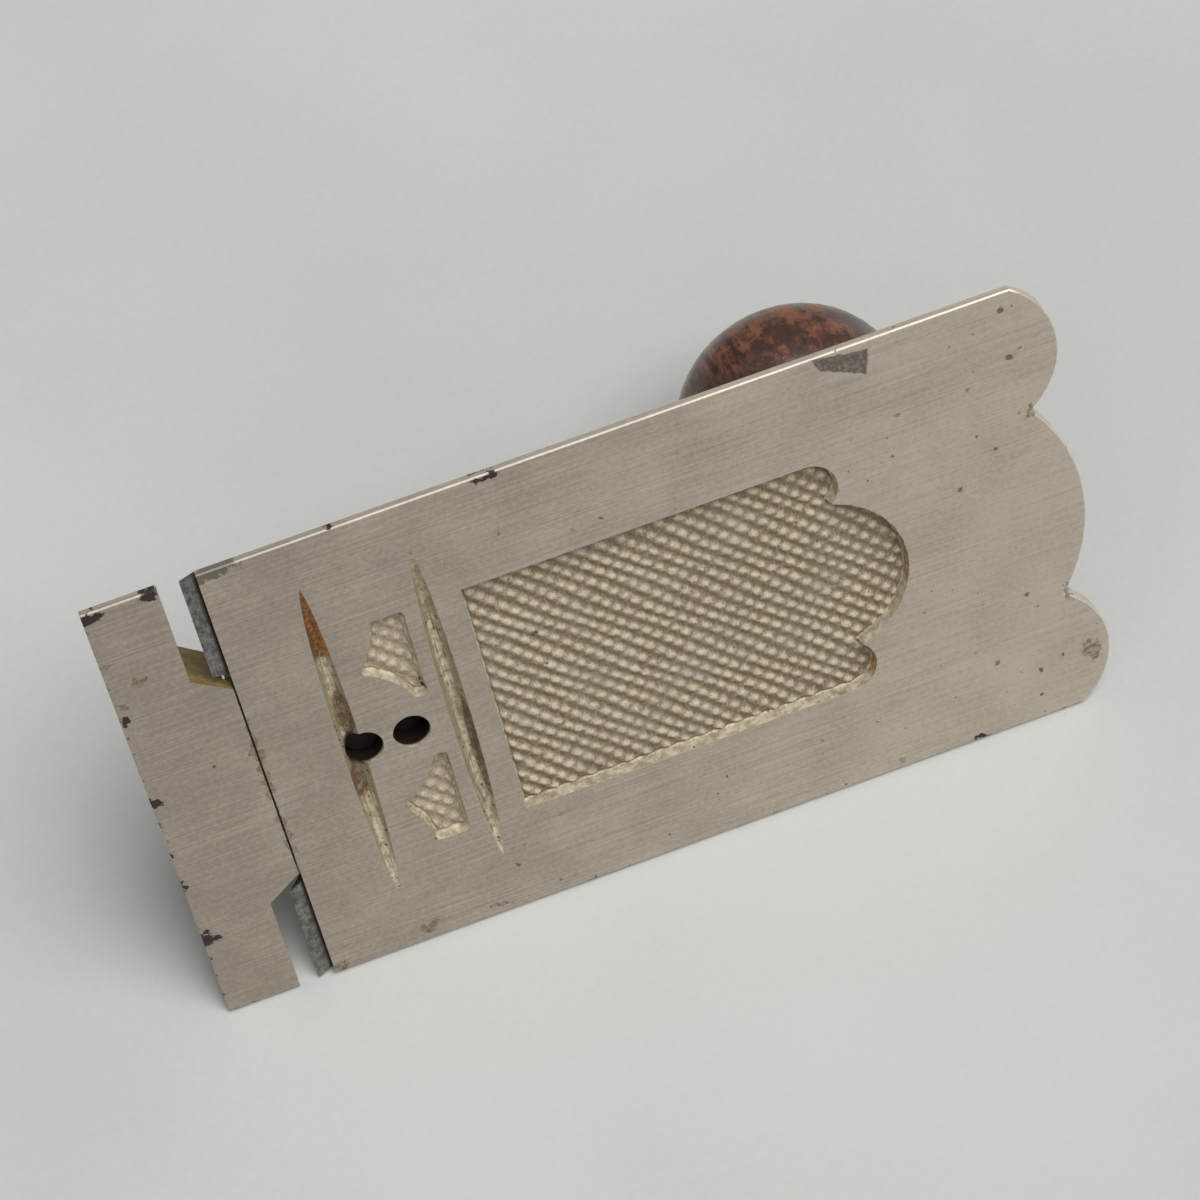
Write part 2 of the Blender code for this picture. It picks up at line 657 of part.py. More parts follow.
def make_body(plane):
    """The sole casting behind the mouths, with everything cast on its back."""
    bm = bmesh.new()
    outline = [(BODY_FRONT, -HALF_WIDTH)] + heel_points() + [(BODY_FRONT, HALF_WIDTH)]
    face = grown(outline, -EDGE_EASE)
    for end in (0, -1):
        face[end] = (BODY_FRONT, face[end][1])
    add_plate(bm, face, outline)
    body = make_object("body", bm, plane)
    for helper in body_additions(plane):
        combine(body, 'UNION', helper)
    for helper in body_cuts(plane):
        combine(body, 'DIFFERENCE', helper)
    return finish(body, GROUND_IRON)


# Nose and its screw

def make_nose(plane):
    """The front of the sole, with a thick neck and a slotted tongue that slides in the body's saddle."""
    bm = bmesh.new()
    corners = [(0.0, -HALF_WIDTH), (NOSE_LENGTH, -HALF_WIDTH), (NOSE_LENGTH, -NECK_HALF_AT_NOSE),
               (NECK_REAR, -NECK_HALF_AT_SEAM), (NECK_REAR, NECK_HALF_AT_SEAM),
               (NOSE_LENGTH, NECK_HALF_AT_NOSE), (NOSE_LENGTH, HALF_WIDTH), (0.0, HALF_WIDTH)]
    limit = HALF_WIDTH - EDGE_EASE
    face = [(max(x, EDGE_EASE), math.copysign(min(abs(y), limit), y)) for x, y in corners]
    add_plate(bm, face, corners)
    nose = make_object("nose_piece", bm, plane)

    bm = bmesh.new()
    outlines = []
    seam_x, seam_half = NECK_REAR - SEAM_LAP - FIT_GAP, NECK_HALF_AT_SEAM - NECK_STEP
    for slope in (0.0, NECK_TOE_SLOPE):
        toe = NECK_TOE_SETBACK + slope
        waist = max(NOSE_LENGTH - NECK_STEP, toe + OVERSHOOT)
        waist_half = NECK_HALF_AT_NOSE - NECK_STEP
        outlines.append([(toe, -NECK_TOE_HALF), (waist, -waist_half), (seam_x, -seam_half),
                         (seam_x, seam_half), (waist, waist_half), (toe, NECK_TOE_HALF)])
    add_prism(bm, outlines[0], -SOLE_THICKNESS / 2, -NECK_DEPTH, end_outline=outlines[1])
    combine(nose, 'UNION', make_object("add_neck", bm, plane))

    bm = bmesh.new()
    tongue_end = BODY_FRONT + TONGUE_REACH
    tongue = [(NOSE_LENGTH, -TONGUE_HALF), (tongue_end, -TONGUE_HALF), (tongue_end, TONGUE_HALF),
              (NOSE_LENGTH, TONGUE_HALF)]
    add_prism(bm, tongue, -SADDLE_DEPTH - FIT_GAP, -TONGUE_TOP)
    combine(nose, 'UNION', make_object("add_tongue", bm, plane))

    combine(nose, 'DIFFERENCE', edge_bevels("cut_nose_bevels", -OVERSHOOT, NECK_REAR + OVERSHOOT, plane))
    bm = bmesh.new()
    slot = slot_points(SCREW_HOLE_AT, tongue_end + HOLE_RADIUS, HOLE_RADIUS)
    add_prism(bm, slot, -SOLE_THICKNESS, -TONGUE_TOP - NECK_DEPTH)
    combine(nose, 'DIFFERENCE', make_object("cut_tongue_slot", bm, plane))
    return finish(nose, GROUND_IRON)


def ring_profile(bore, radius, start, end):
    """Closed section of a flat washer."""
    return [(bore, start), (radius, start), (radius, end), (bore, end)]


def screw_profile(shank_radius, tip, head_start, head_radius):
    """Turned section of a cheese-head screw with an eased upper edge."""
    head_end = head_start + SCREW_HEAD_HEIGHT
    ease = SCREW_HEAD_HEIGHT * HEAD_EASE_SHARE
    return [(0.0, tip), (shank_radius, tip), (shank_radius, head_start), (head_radius, head_start),
            (head_radius, head_end - ease), (head_radius - ease, head_end), (0.0, head_end)]


def make_nose_screw(plane):
    """Screw and washer that hold the tongue in the saddle; both sit on the screw's axis."""
    axis = make_empty("nose_screw_axis", plane, depth_frame(SCREW_HOLE_AT, 0.0))
    washer_start = TONGUE_TOP + FIT_GAP
    washer_end = washer_start + WASHER_THICKNESS
    bm = bmesh.new()
    bore = NOSE_SCREW_RADIUS + FIT_GAP
    add_turned(bm, ring_profile(bore, NOSE_WASHER_RADIUS, washer_start, washer_end), ROUND_SEGMENTS)
    washer = make_object("nose_washer", bm, axis)
    finish(washer, SCREW_STEEL)

    bm = bmesh.new()
    head_start = washer_end + FIT_GAP
    profile = screw_profile(NOSE_SCREW_RADIUS, NOSE_SCREW_TIP_DEPTH, head_start, SCREW_HEAD_RADIUS)
    add_turned(bm, profile, ROUND_SEGMENTS)
    screw = make_object("nose_screw", bm, axis)
    slot_top = head_start + SCREW_HEAD_HEIGHT
    combine(screw, 'DIFFERENCE', screw_slot("cut_nose_screw_slot", SCREW_HEAD_RADIUS, slot_top, axis,
                                            (0.0, 0.0, 0.0)))
    finish(screw, SCREW_STEEL)


# Cutters, lever caps and thumbscrews

def make_cutter(name, side, bed):
    """A skewed cutter, bevelled on its far face, with a slot for the cap screw."""
    lean_in = side * CUTTER_HALF * math.tan(SKEW_ANGLE)
    bevel_run = CUTTER_THICKNESS / math.tan(CUTTER_BEVEL) / math.cos(SKEW_ANGLE)
    outlines = []
    for run in (0.0, bevel_run):
        outlines.append([(-lean_in + run, -CUTTER_HALF), (CUTTER_LENGTH - CUTTER_TAIL_CLIP, -CUTTER_HALF),
                         (CUTTER_LENGTH, -CUTTER_HALF + CUTTER_TAIL_CLIP),
                         (CUTTER_LENGTH, CUTTER_HALF - CUTTER_TAIL_CLIP),
                         (CUTTER_LENGTH - CUTTER_TAIL_CLIP, CUTTER_HALF), (lean_in + run, CUTTER_HALF)])
    bm = bmesh.new()
    add_prism(bm, outlines[0], 0.0, CUTTER_THICKNESS, end_outline=outlines[1])
    cutter = make_object(name, bm, bed)
    bm = bmesh.new()
    room = CAP_SCREW_RADIUS + FIT_GAP
    slot = slot_points(CAP_SCREW_AT - CUTTER_DRAW_BACK, CAP_SCREW_AT + CUTTER_ADVANCE, room)
    add_prism(bm, slot, -OVERSHOOT, CUTTER_THICKNESS + OVERSHOOT)
    combine(cutter, 'DIFFERENCE', make_object("cut_" + name + "_slot", bm, bed))
    return finish(cutter, CUTTER_STEEL)


def make_lever_cap(name, bed):
    """An arched cap that bears on the cutter near its edge and is held by a keyhole."""
    half = CAP_WIDTH / 2
    under_tip = CUTTER_THICKNESS + FIT_GAP
    under_arch = CUTTER_THICKNESS + CAP_ARCH
    section = [(CAP_FRONT, under_tip), (CAP_FRONT + CAP_TOE_LENGTH, under_tip),
               (CAP_FRONT + CAP_TOE_LENGTH + CAP_ARCH, under_arch), (CAP_TAIL + OVERSHOOT, under_arch),
               (CAP_TAIL + OVERSHOOT, CAP_TOP), (CAP_SHOULDER_AT, CAP_TOP),
               (CAP_FRONT, under_tip + CAP_TIP_THICKNESS)]
    bm = bmesh.new()
    add_faces(bm, [[(x, y, z) for x, z in section] for y in (-half, half)])
    cap = make_object(name, bm, bed)

    bm = bmesh.new()
    tail_start = CAP_TAIL - CAP_TAIL_BULGE
    side_reach = half + OVERSHOOT
    tail = arc_points((tail_start, -side_reach), (tail_start, side_reach), -CAP_TAIL_BULGE)
    front = CAP_FRONT - OVERSHOOT
    add_prism(bm, tail + [(front, side_reach), (front, -side_reach)], 0.0, CAP_TOP + OVERSHOOT)
    combine(cap, 'INTERSECT', make_object("trim_" + name, bm, bed))

    rounding = cap.modifiers.new("edge_round", 'BEVEL')
    rounding.width = CAP_EDGE_ROUND
    rounding.segments = 2
    rounding.limit_method = 'ANGLE'

    bm = bmesh.new()
    room = CAP_SCREW_RADIUS + FIT_GAP
    round_place = CAP_SCREW_AT - KEYHOLE_TRAVEL
    add_prism(bm, slot_points(round_place, CAP_SCREW_AT, room), 0.0, CAP_TOP + OVERSHOOT)
    combine(cap, 'DIFFERENCE', make_object("cut_" + name + "_slot", bm, bed))
    bm = bmesh.new()
    head_room = SCREW_HEAD_RADIUS + FIT_GAP
    add_prism(bm, circle_points(head_room, ROUND_SEGMENTS, (round_place, 0.0)), 0.0, CAP_TOP + OVERSHOOT)
    thread_room = THUMB_SHANK_RADIUS + FIT_GAP
    add_prism(bm, circle_points(thread_room, ROUND_SEGMENTS, (THUMBSCREW_AT, 0.0)), 0.0, CAP_TOP + OVERSHOOT)
    combine(cap, 'DIFFERENCE', make_object("cut_" + name + "_holes", bm, bed))
    return finish(cap, CAP_PLATE)


def make_cap_screw(name, bed):
    """Screw fixed in the bed; the lever cap hooks under its head."""
    bm = bmesh.new()
    head_start = CAP_TOP + FIT_GAP
    add_turned(bm, screw_profile(CAP_SCREW_RADIUS, -CAP_SCREW_GRIP, head_start, SCREW_HEAD_RADIUS),
               ROUND_SEGMENTS)
    place = (CAP_SCREW_AT, 0.0, 0.0)
    screw = make_object(name, bm, bed, place)
    slot_top = head_start + SCREW_HEAD_HEIGHT
    combine(screw, 'DIFFERENCE', screw_slot("cut_" + name + "_slot", SCREW_HEAD_RADIUS, slot_top, bed, place))
    return finish(screw, SCREW_STEEL)


def make_thumbscrew(name, bed):
    """Knurled screw through the cap's tail; its tip bears on the cutter."""
    tip = CUTTER_THICKNESS + FIT_GAP
    collar = CAP_TOP + FIT_GAP
    head = collar + THUMB_COLLAR_HEIGHT
    top = head + THUMB_HEAD_HEIGHT
    bare = THUMB_HEAD_RADIUS - THUMB_HEAD_CHAMFER
    dish = bare * THUMB_DISH_SHARE
    profile = [(THUMB_SHANK_RADIUS, tip, 0.0), (THUMB_SHANK_RADIUS, collar, 0.0),
               (THUMB_COLLAR_RADIUS, collar, 0.0), (THUMB_COLLAR_RADIUS, head, 0.0), (bare, head, 0.0),
               (THUMB_HEAD_RADIUS, head + THUMB_HEAD_CHAMFER, KNURL_DEPTH),
               (THUMB_HEAD_RADIUS, top - THUMB_HEAD_CHAMFER, KNURL_DEPTH), (bare, top, 0.0),
               (dish, top, 0.0), (dish - THUMB_HEAD_CHAMFER, top - THUMB_HEAD_CHAMFER, 0.0)]
    rings = []
    steps = 2 * KNURL_COUNT
    for radius, z, knurl in profile:
        ring = []
        for step in range(steps):
            angle = 2 * math.pi * step / steps
            reach = radius - knurl * (step % 2)
            ring.append((reach * math.cos(angle), reach * math.sin(angle), z))
        rings.append(ring)
    bm = bmesh.new()
    add_faces(bm, rings)
    screw = make_object(name, bm, bed, (THUMBSCREW_AT, 0.0, 0.0))
    return finish(screw, THUMB_PLATE)


# Knob

def make_knob(plane):
    """The turned knob with its stud, washer and nut, all on one axis square to the sole."""
    axis = make_empty("knob_axis", plane, depth_frame(KNOB_AT, 0.0))
    bore = STUD_RADIUS + FIT_GAP
    profile = KNOB_OUTLINE + [(COUNTERBORE_RADIUS, NUT_SEAT_DEPTH), (bore, NUT_SEAT_DEPTH),
                              (bore, KNOB_BASE_DEPTH)]
    bm = bmesh.new()
    add_turned(bm, profile, KNOB_SEGMENTS)
    finish(make_object("knob", bm, axis), KNOB_WOOD)

    washer_start = NUT_SEAT_DEPTH + FIT_GAP
    washer_end = washer_start + WASHER_THICKNESS
    bm = bmesh.new()
    add_turned(bm, ring_profile(bore, NUT_WASHER_RADIUS, washer_start, washer_end), ROUND_SEGMENTS)
    finish(make_object("knob_washer", bm, axis), SCREW_STEEL)

    nut_start = washer_end + FIT_GAP
    nut_end = nut_start + NUT_HEIGHT - 2 * FIT_GAP
    stud_end = nut_end - SCREW_SLOT_DEPTH - STUD_HEADROOM
    blind = stud_end + FIT_GAP
    ease = NUT_HEIGHT * HEAD_EASE_SHARE
    bm = bmesh.new()
    nut = [(0.0, blind), (bore, blind), (bore, nut_start), (NUT_RADIUS, nut_start),
           (NUT_RADIUS, nut_end - ease), (NUT_RADIUS - ease, nut_end), (0.0, nut_end)]
    add_turned(bm, nut, ROUND_SEGMENTS)
    nut_object = make_object("knob_nut", bm, axis)
    combine(nut_object, 'DIFFERENCE', screw_slot("cut_knob_nut_slot", NUT_RADIUS, nut_end, axis,
                                                 (0.0, 0.0, 0.0)))
    finish(nut_object, NUT_BRASS)

    bm = bmesh.new()
    stud_start = KNOB_BOSS_DEPTH - STUD_GRIP + FIT_GAP
    stud = [(0.0, stud_start), (STUD_RADIUS, stud_start), (STUD_RADIUS, stud_end), (0.0, stud_end)]
    add_turned(bm, stud, ROUND_SEGMENTS)
    finish(make_object("knob_stud", bm, axis), SCREW_STEEL)


def main():
    for obj in list(bpy.data.objects):
        bpy.data.objects.remove(obj, do_unlink=True)
    plane = make_empty("plane_frame", None, lean_matrix())
    make_body(plane)
    make_nose(plane)
    make_nose_screw(plane)
    for word, side in SIDES.items():
        bed = make_empty("bed_" + word, plane, bed_matrix(side))
        make_cutter("cutter_" + word, side, bed)
        make_lever_cap("lever_cap_" + word, bed)
        make_cap_screw("cap_screw_" + word, bed)
        make_thumbscrew("thumbscrew_" + word, bed)
    make_knob(plane)
    bpy.context.view_layer.update()


main()
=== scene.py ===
"""Looks of the side rebate plane: its finishes, the cross-hatch in its pockets, floor, light and camera.

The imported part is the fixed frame.  Finishes and pieces are laid out in the plane's own frame, in
millimetres: x from toe to heel, y across the sole towards its upper edge, z out of the sole.
"""
import json
import math

import bmesh
import bpy
import numpy as np
from mathutils import Matrix, Vector

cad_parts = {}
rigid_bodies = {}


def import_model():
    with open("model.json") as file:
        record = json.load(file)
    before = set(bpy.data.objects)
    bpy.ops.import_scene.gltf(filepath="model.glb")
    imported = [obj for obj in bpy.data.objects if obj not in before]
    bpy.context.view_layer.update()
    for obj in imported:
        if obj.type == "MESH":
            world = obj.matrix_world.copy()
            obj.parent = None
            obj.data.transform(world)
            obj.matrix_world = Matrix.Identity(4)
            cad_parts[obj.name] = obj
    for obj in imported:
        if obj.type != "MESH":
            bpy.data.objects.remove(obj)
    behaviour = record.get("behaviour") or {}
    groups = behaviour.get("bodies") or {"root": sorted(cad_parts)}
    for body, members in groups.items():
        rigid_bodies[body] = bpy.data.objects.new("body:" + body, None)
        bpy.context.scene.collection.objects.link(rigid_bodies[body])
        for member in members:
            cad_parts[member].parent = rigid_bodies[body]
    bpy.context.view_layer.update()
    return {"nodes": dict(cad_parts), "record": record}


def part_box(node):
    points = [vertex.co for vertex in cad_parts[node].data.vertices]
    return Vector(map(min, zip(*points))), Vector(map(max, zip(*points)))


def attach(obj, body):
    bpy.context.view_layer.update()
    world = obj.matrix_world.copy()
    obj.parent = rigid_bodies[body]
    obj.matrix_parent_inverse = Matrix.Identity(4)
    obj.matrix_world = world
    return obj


MM = 0.001

# Camera, at the photograph's viewing angle
CAMERA_PLACE = (-0.05477, -0.26293, 0.54099)
CAMERA_TURN_DEG = (26.979, 4.060, -19.925)
CAMERA_LENS = 120.0
CAMERA_SENSOR = 36.0
CAMERA_NEAREST = 0.01

# Light: a soft lamp from above, and a pale room that is dimmer behind the object
SUN_TOWARDS = (0.30, -0.16, 0.93)
SUN_STRENGTH = 2.45
SUN_SPREAD_DEG = 46.0
ROOM_TOP = (0.44, 0.44, 0.45)
ROOM_FRONT = (0.42, 0.42, 0.42)
ROOM_BACK = (0.10, 0.10, 0.10)
ROOM_TOP_START = 0.70
FLOOR_HALF = 12.0
FLOOR_COLOUR = (0.572, 0.582, 0.556)
FLOOR_DARKER = (0.515, 0.523, 0.500)
FLOOR_ROUGHNESS = 0.80
FLOOR_SPECULAR = 0.25

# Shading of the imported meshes
SMOOTH_ANGLE_DEG = 32.0
WELD_DISTANCE = 1e-6

# Finishes, as linear colours
IRON_LIGHT = (0.665, 0.583, 0.486)
IRON_DARK = (0.355, 0.308, 0.254)
IRON_WORN = (0.140, 0.117, 0.095)
# near black of nicks on the sole; also the painted shadow on the cutters beside the body's edge
NICK_AND_SHADOW = (0.030, 0.020, 0.018)
RUST_BROWN = (0.105, 0.050, 0.022)
RUST_ORANGE = (0.340, 0.125, 0.020)
STAIN = (0.135, 0.078, 0.024)
GRIME = (0.050, 0.040, 0.026)
CAST_CREAM = (0.640, 0.560, 0.410)
CAST_TAN = (0.340, 0.285, 0.185)
CAST_GREY = (0.370, 0.350, 0.305)
GROOVE_OLIVE = (0.245, 0.200, 0.112)
NECK_TAN = (0.185, 0.122, 0.018)
# rust and painted shade inside the holes and on the screw tips that show in them
HOLE_RUST_AND_SHADE = (0.014, 0.006, 0.004)
HATCH_VALLEY = (0.230, 0.178, 0.105)
# painted shade on the hatch's sides that face away from the light; also the colour of its grit
HATCH_SHADE_AND_GRIT = (0.185, 0.136, 0.076)
HATCH_CREST = (0.705, 0.600, 0.445)
CUTTER_DARK = (0.100, 0.093, 0.086)
CUTTER_GREY = (0.290, 0.276, 0.262)
CUTTER_BRIGHT = (0.350, 0.336, 0.322)
NICKEL_DARK = (0.500, 0.470, 0.410)
NICKEL_BRIGHT = (0.660, 0.625, 0.560)
NICKEL_DULL = (0.260, 0.215, 0.150)
STEEL_DARK = (0.330, 0.315, 0.290)
STEEL_BRIGHT = (0.500, 0.485, 0.455)
STEEL_BROWN = (0.130, 0.080, 0.045)
BRASS_DARK = (0.480, 0.330, 0.120)
BRASS_BRIGHT = (0.620, 0.450, 0.190)
BRASS_TARNISH = (0.170, 0.105, 0.045)
WOOD_DARK = (0.040, 0.021, 0.018)
WOOD_RED = (0.205, 0.080, 0.046)
WOOD_CLOUD = (0.064, 0.033, 0.027)
WOOD_BARE_DARK = (0.190, 0.062, 0.026)
WOOD_BARE_PALE = (0.370, 0.140, 0.062)

# Varnish on the knob, as a clear coat
VARNISH_COAT = 0.25
VARNISH_ROUGHNESS = 0.15

# Stretch of a noise along x, y and z: its lines run along the smallest
GROUND_LINES = (0.04, 3.4, 3.4)
GROOVE_STREAKS = (3.0, 0.22, 3.0)
CUTTER_LINES = (5.0, 0.25, 5.0)
CAP_LINES = (0.15, 4.0, 4.0)
THUMBSCREW_LINES = (2.0, 2.0, 2.0)
WOOD_GRAIN = (0.9, 0.9, 0.20)

# Edges of specks and blots, as shares of their radius, and the least radius of a speck in its cell
SPECK_CORE = 0.6
SPECK_LEAST = 0.01
BLOT_EDGE = (0.8, 1.05)

# Cross-hatch in the pockets: rows of small pyramids, in millimetres
HATCH_PITCH = 2.0
HATCH_STEPS = 8                 # mesh points in a pitch
HATCH_HEIGHT = 0.60
HATCH_BLUNTNESS = 0.80
HATCH_GRAIN = 0.17              # random roughness of the surface
HATCH_CROSS_START = 0.64        # depth of the cuts across the rows, as a share, at the toe end
HATCH_CROSS_END = 0.96          # the same at the heel end
HATCH_LIFT = 0.10               # height of the valleys over the pocket's floor
HATCH_REACH = 0.45              # how far the slab goes into the walls
HATCH_EDGE = 0.60               # width of the slope at its rim
HATCH_SINK = 0.12               # depth of the rim under the floor
HATCH_BASE = 0.50               # depth of the underside under the floor
HATCH_UNEVEN = 0.55             # share of the height that a pyramid may lack
HATCH_WOBBLE = 0.22             # how far the rows stray
HATCH_WAVES = ((0.23, 0.61), (0.53, -0.31))
HATCH_SEED = 7
HATCH_TABLE = 64
HATCH_CREASE_DEG = 60.0
HATCH_TOWARDS_LIGHT = (0.45, 0.89)     # direction in x and y towards the light; the sides facing away from it get painted shade
LARGE_POCKET_DEPTH = 2.0
SMALL_POCKET_DEPTH = 1.6
# darkness of the dirt in the hatch valleys and strength of the hatch's painted shade, per pocket
LARGE_POCKET_SOIL_AND_SHADE = 0.74
SMALL_POCKET_SOIL_AND_SHADE = 0.42
SMALL_POCKET_SHARE = 0.85       # height of the small pockets' hatch against the large one's
DEPTH_TOLERANCE = 0.02
FACING_OUT = 0.9
FLAT_ANGLE = 0.01

# Where the finishes change, in millimetres or as a share of facing: start and end of a soft step
RECESS_TOP = (-0.09, -0.03)
RECESS_TOE = (10.4, 11.0)
RECESS_HEEL = (113.0, 114.0)
RECESS_SIDES = (31.0, 32.0)
BACK_FACING = (-0.35, -0.20)
BACK_DEPTH = (-2.60, -2.45)
WALL_FACING = (0.80, 0.97)
NECK_FRONT = (10.4, 10.9)
NECK_SEAM = (16.1, 16.5)
GROOVE_EDGE = (1.7, 2.2)
HOLE_TOP = (-0.9, -0.3)
EDGE_RUST_TOP = (-1.9, -1.4)
TOE_EDGE = (0.2, 0.6)
LOWER_EDGE = (-37.6, -37.3)
HEEL_PITS = (88.0, 122.0)
PATCH_TOP = (-0.12, -0.04)
SCREW_TIP = (-7.0, -5.5)
# painted shadow band on the cutters beside the body's front edge
CUTTER_SHADOW_FRONT = (15.6, 16.15)
CUTTER_SHADOW_REAR = (17.2, 18.4)
HIGHLIGHT_REACH = (3.0, 13.0)
# start of a ramp along x: the sole is painted paler towards the heel as painted sheen, and pits grow
# more frequent there
SHEEN_AND_PITS_FROM = 60.0

# Places of wear on the sole: x, y, half length, half width
NICKS = (
    (0.9, 36.9, 2.0, 0.8), (9.6, 37.3, 1.5, 0.7), (0.9, 18.3, 0.6, 0.6), (0.6, 3.4, 0.8, 0.9),
    (0.2, -6.6, 0.4, 0.6), (0.2, -12.8, 0.4, 1.0), (0.7, -23.4, 1.8, 1.4), (35.5, 37.7, 1.1, 0.5),
    (57.9, 37.4, 2.2, 0.6), (117.6, -37.4, 1.1, 0.7), (55.9, -37.7, 0.9, 0.4),
)
WORN = ((19.2, 37.4, 3.4, 0.9), (16.9, 37.0, 0.8, 1.2))
# Sides (a, b, c) of a dark patch at the upper edge: it lies where a x + b y is above c
PATCH_SIDES = (
    (-0.160, -1.0, -54.33), (0.478, 1.0, 85.96), (-1.0, 0.235, -104.60), (1.0, 0.4525, 121.89),
)
PATCH_BLUR = 0.15
STAINS = (
    (31.0, -35.6, 1.0, 0.6), (32.4, -34.9, 0.9, 0.7), (42.6, -36.2, 1.4, 0.6),
    (17.6, -36.6, 1.4, 0.7), (137.0, -28.6, 1.3, 2.2), (135.0, -16.6, 0.9, 1.6),
    (16.3, 4.0, 0.5, 8.0), (16.4, -9.0, 0.4, 5.0), (1.3, 20.9, 1.0, 0.7),
    (1.2, 28.2, 0.9, 0.5), (4.4, 24.2, 1.1, 0.9), (134.2, 16.6, 0.7, 1.2), (139.0, 9.5, 0.6, 1.4),
)
ORANGE_STRETCH = (29.0, 24.4, 3.0, 7.8)
OLIVE_STRETCH = (44.9, 27.0, 2.4, 9.5)
EDGE_RUST = ((112.4, 2.0, 1.8, 7.0), (105.0, -17.2, 2.2, 2.8))
GROOVE_GRIME = ((29.4, 6.5, 1.3, 4.5), (28.6, -5.5, 1.2, 3.5), (45.9, -7.0, 0.8, 10.0))
HOLES = ((30.7, 0.0, 3.6, 3.6), (37.7, 0.0, 3.6, 3.6))
PITS = ((40.5, 7.5, 0.80, 0.70), (41.2, 6.4, 0.4, 0.4))
# Centre lines of the grooves, in x, and the point of the knob where its painted highlight of paler bare
# wood is centred
GROOVES = (29.0, 44.9)
KNOB_HIGHLIGHT_POINT = (111.0, 14.0, -42.0)


class Look:
    """A material whose nodes are added by short calls; every call returns an output socket."""

    def __init__(self, name):
        self.material = bpy.data.materials.new(name)
        self.material.use_nodes = True
        self.tree = self.material.node_tree
        self.shader = self.tree.nodes["Principled BSDF"]

    def feed(self, socket, value):
        if isinstance(value, bpy.types.NodeSocket):
            self.tree.links.new(value, socket)
        elif socket.type == 'RGBA':
            socket.default_value = (*value, 1.0)
        else:
            socket.default_value = value

    def node(self, kind, **settings):
        made = self.tree.nodes.new(kind)
        for key, value in settings.items():
            setattr(made, key, value)
        return made

    def number(self, operation, *values):
        made = self.node('ShaderNodeMath', operation=operation)
        for socket, value in zip(made.inputs, values):
            self.feed(socket, value)
        return made.outputs[0]

    def times(self, first, second):
        return self.number('MULTIPLY', first, second)

    def plus(self, first, second):
        return self.number('ADD', first, second)

    def less(self, first, second):
        return self.number('SUBTRACT', first, second)

    def most(self, first, second):
        return self.number('MAXIMUM', first, second)

    def vector(self, operation, *values, output=0):
        made = self.node('ShaderNodeVectorMath', operation=operation)
        for socket, value in zip(made.inputs, values):
            self.feed(socket, value)
        return made.outputs[output]

    def parts(self, vector):
        made = self.node('ShaderNodeSeparateXYZ')
        self.feed(made.inputs[0], vector)
        return made.outputs

    def rise(self, value, low, high, to_low=0.0, to_high=1.0):
        """A smooth step from to_low at low to to_high at high."""
        made = self.node('ShaderNodeMapRange', interpolation_type='SMOOTHSTEP')
        for socket, given in zip(made.inputs, (value, low, high, to_low, to_high)):
            self.feed(socket, given)
        return made.outputs[0]

    def fall(self, value, low, high):
        """A smooth step from 1 at low to 0 at high."""
        return self.rise(value, low, high, 1.0, 0.0)

    def noise(self, vector, scale, detail, roughness):
        made = self.node('ShaderNodeTexNoise')
        self.feed(made.inputs["Vector"], vector)
        self.feed(made.inputs["Scale"], scale)
        self.feed(made.inputs["Detail"], detail)
        self.feed(made.inputs["Roughness"], roughness)
        return made.outputs[0]

    def weigh(self, *pairs):
        """Sum of values, each times its weight."""
        total = 0.0
        for value, weight in pairs:
            total = self.number('MULTIPLY_ADD', value, weight, total)
        return total

    def mix(self, factor, first, second):
        """Blend of two colours; the node's colour sockets come after those of its other data types."""
        made = self.node('ShaderNodeMix', data_type='RGBA')
        for index, value in ((0, factor), (6, first), (7, second)):
            self.feed(made.inputs[index], value)
        return made.outputs[2]

    def specks(self, vector, spacing, largest, share):
        """Scattered round specks: a share of the cells of one spacing holds one, of a largest radius."""
        made = self.node('ShaderNodeTexVoronoi')
        self.feed(made.inputs["Vector"], vector)
        self.feed(made.inputs["Scale"], 1.0 / spacing)
        chance = self.node('ShaderNodeSeparateColor')
        self.feed(chance.inputs[0], made.outputs["Color"])
        radius = self.rise(chance.outputs[0], 1.0 - share, 1.0, 0.0, largest / spacing)
        spot = self.fall(made.outputs["Distance"], self.times(radius, SPECK_CORE), radius)
        return self.times(spot, self.number('GREATER_THAN', radius, SPECK_LEAST))

    def warp(self, vector, scale, reach):
        """A point pushed about by noise, up to about half a reach each way."""
        made = self.node('ShaderNodeTexNoise')
        self.feed(made.inputs["Vector"], vector)
        self.feed(made.inputs["Scale"], scale)
        self.feed(made.inputs["Detail"], 3.0)
        push = self.vector('SUBTRACT', made.outputs["Color"], (0.5, 0.5, 0.5))
        return self.vector('MULTIPLY_ADD', push, (reach, reach, 0.0), vector)

    def blots(self, vector, ragged, places):
        """Ragged spots at given places of the sole, as one mask."""
        mask = 0.0
        for x, y, half_x, half_y in places:
            offset = self.vector('SUBTRACT', vector, (x, y, 0.0))
            scaled = self.vector('MULTIPLY', offset, (1 / half_x, 1 / half_y, 0.0))
            reach = self.vector('LENGTH', scaled, output=1)
            mask = self.most(mask, self.fall(self.plus(reach, ragged), *BLOT_EDGE))
        return mask

    def finish(self, colour, roughness, metallic, height, relief):
        """Link the shader's inputs; the relief of the height is in millimetres."""
        self.feed(self.shader.inputs["Base Color"], colour)
        self.feed(self.shader.inputs["Roughness"], roughness)
        self.feed(self.shader.inputs["Metallic"], metallic)
        bump = self.node('ShaderNodeBump')
        bump.inputs["Distance"].default_value = relief * MM
        self.feed(bump.inputs["Height"], height)
        self.feed(self.shader.inputs["Normal"], bump.outputs[0])
        return self.material


# Frame

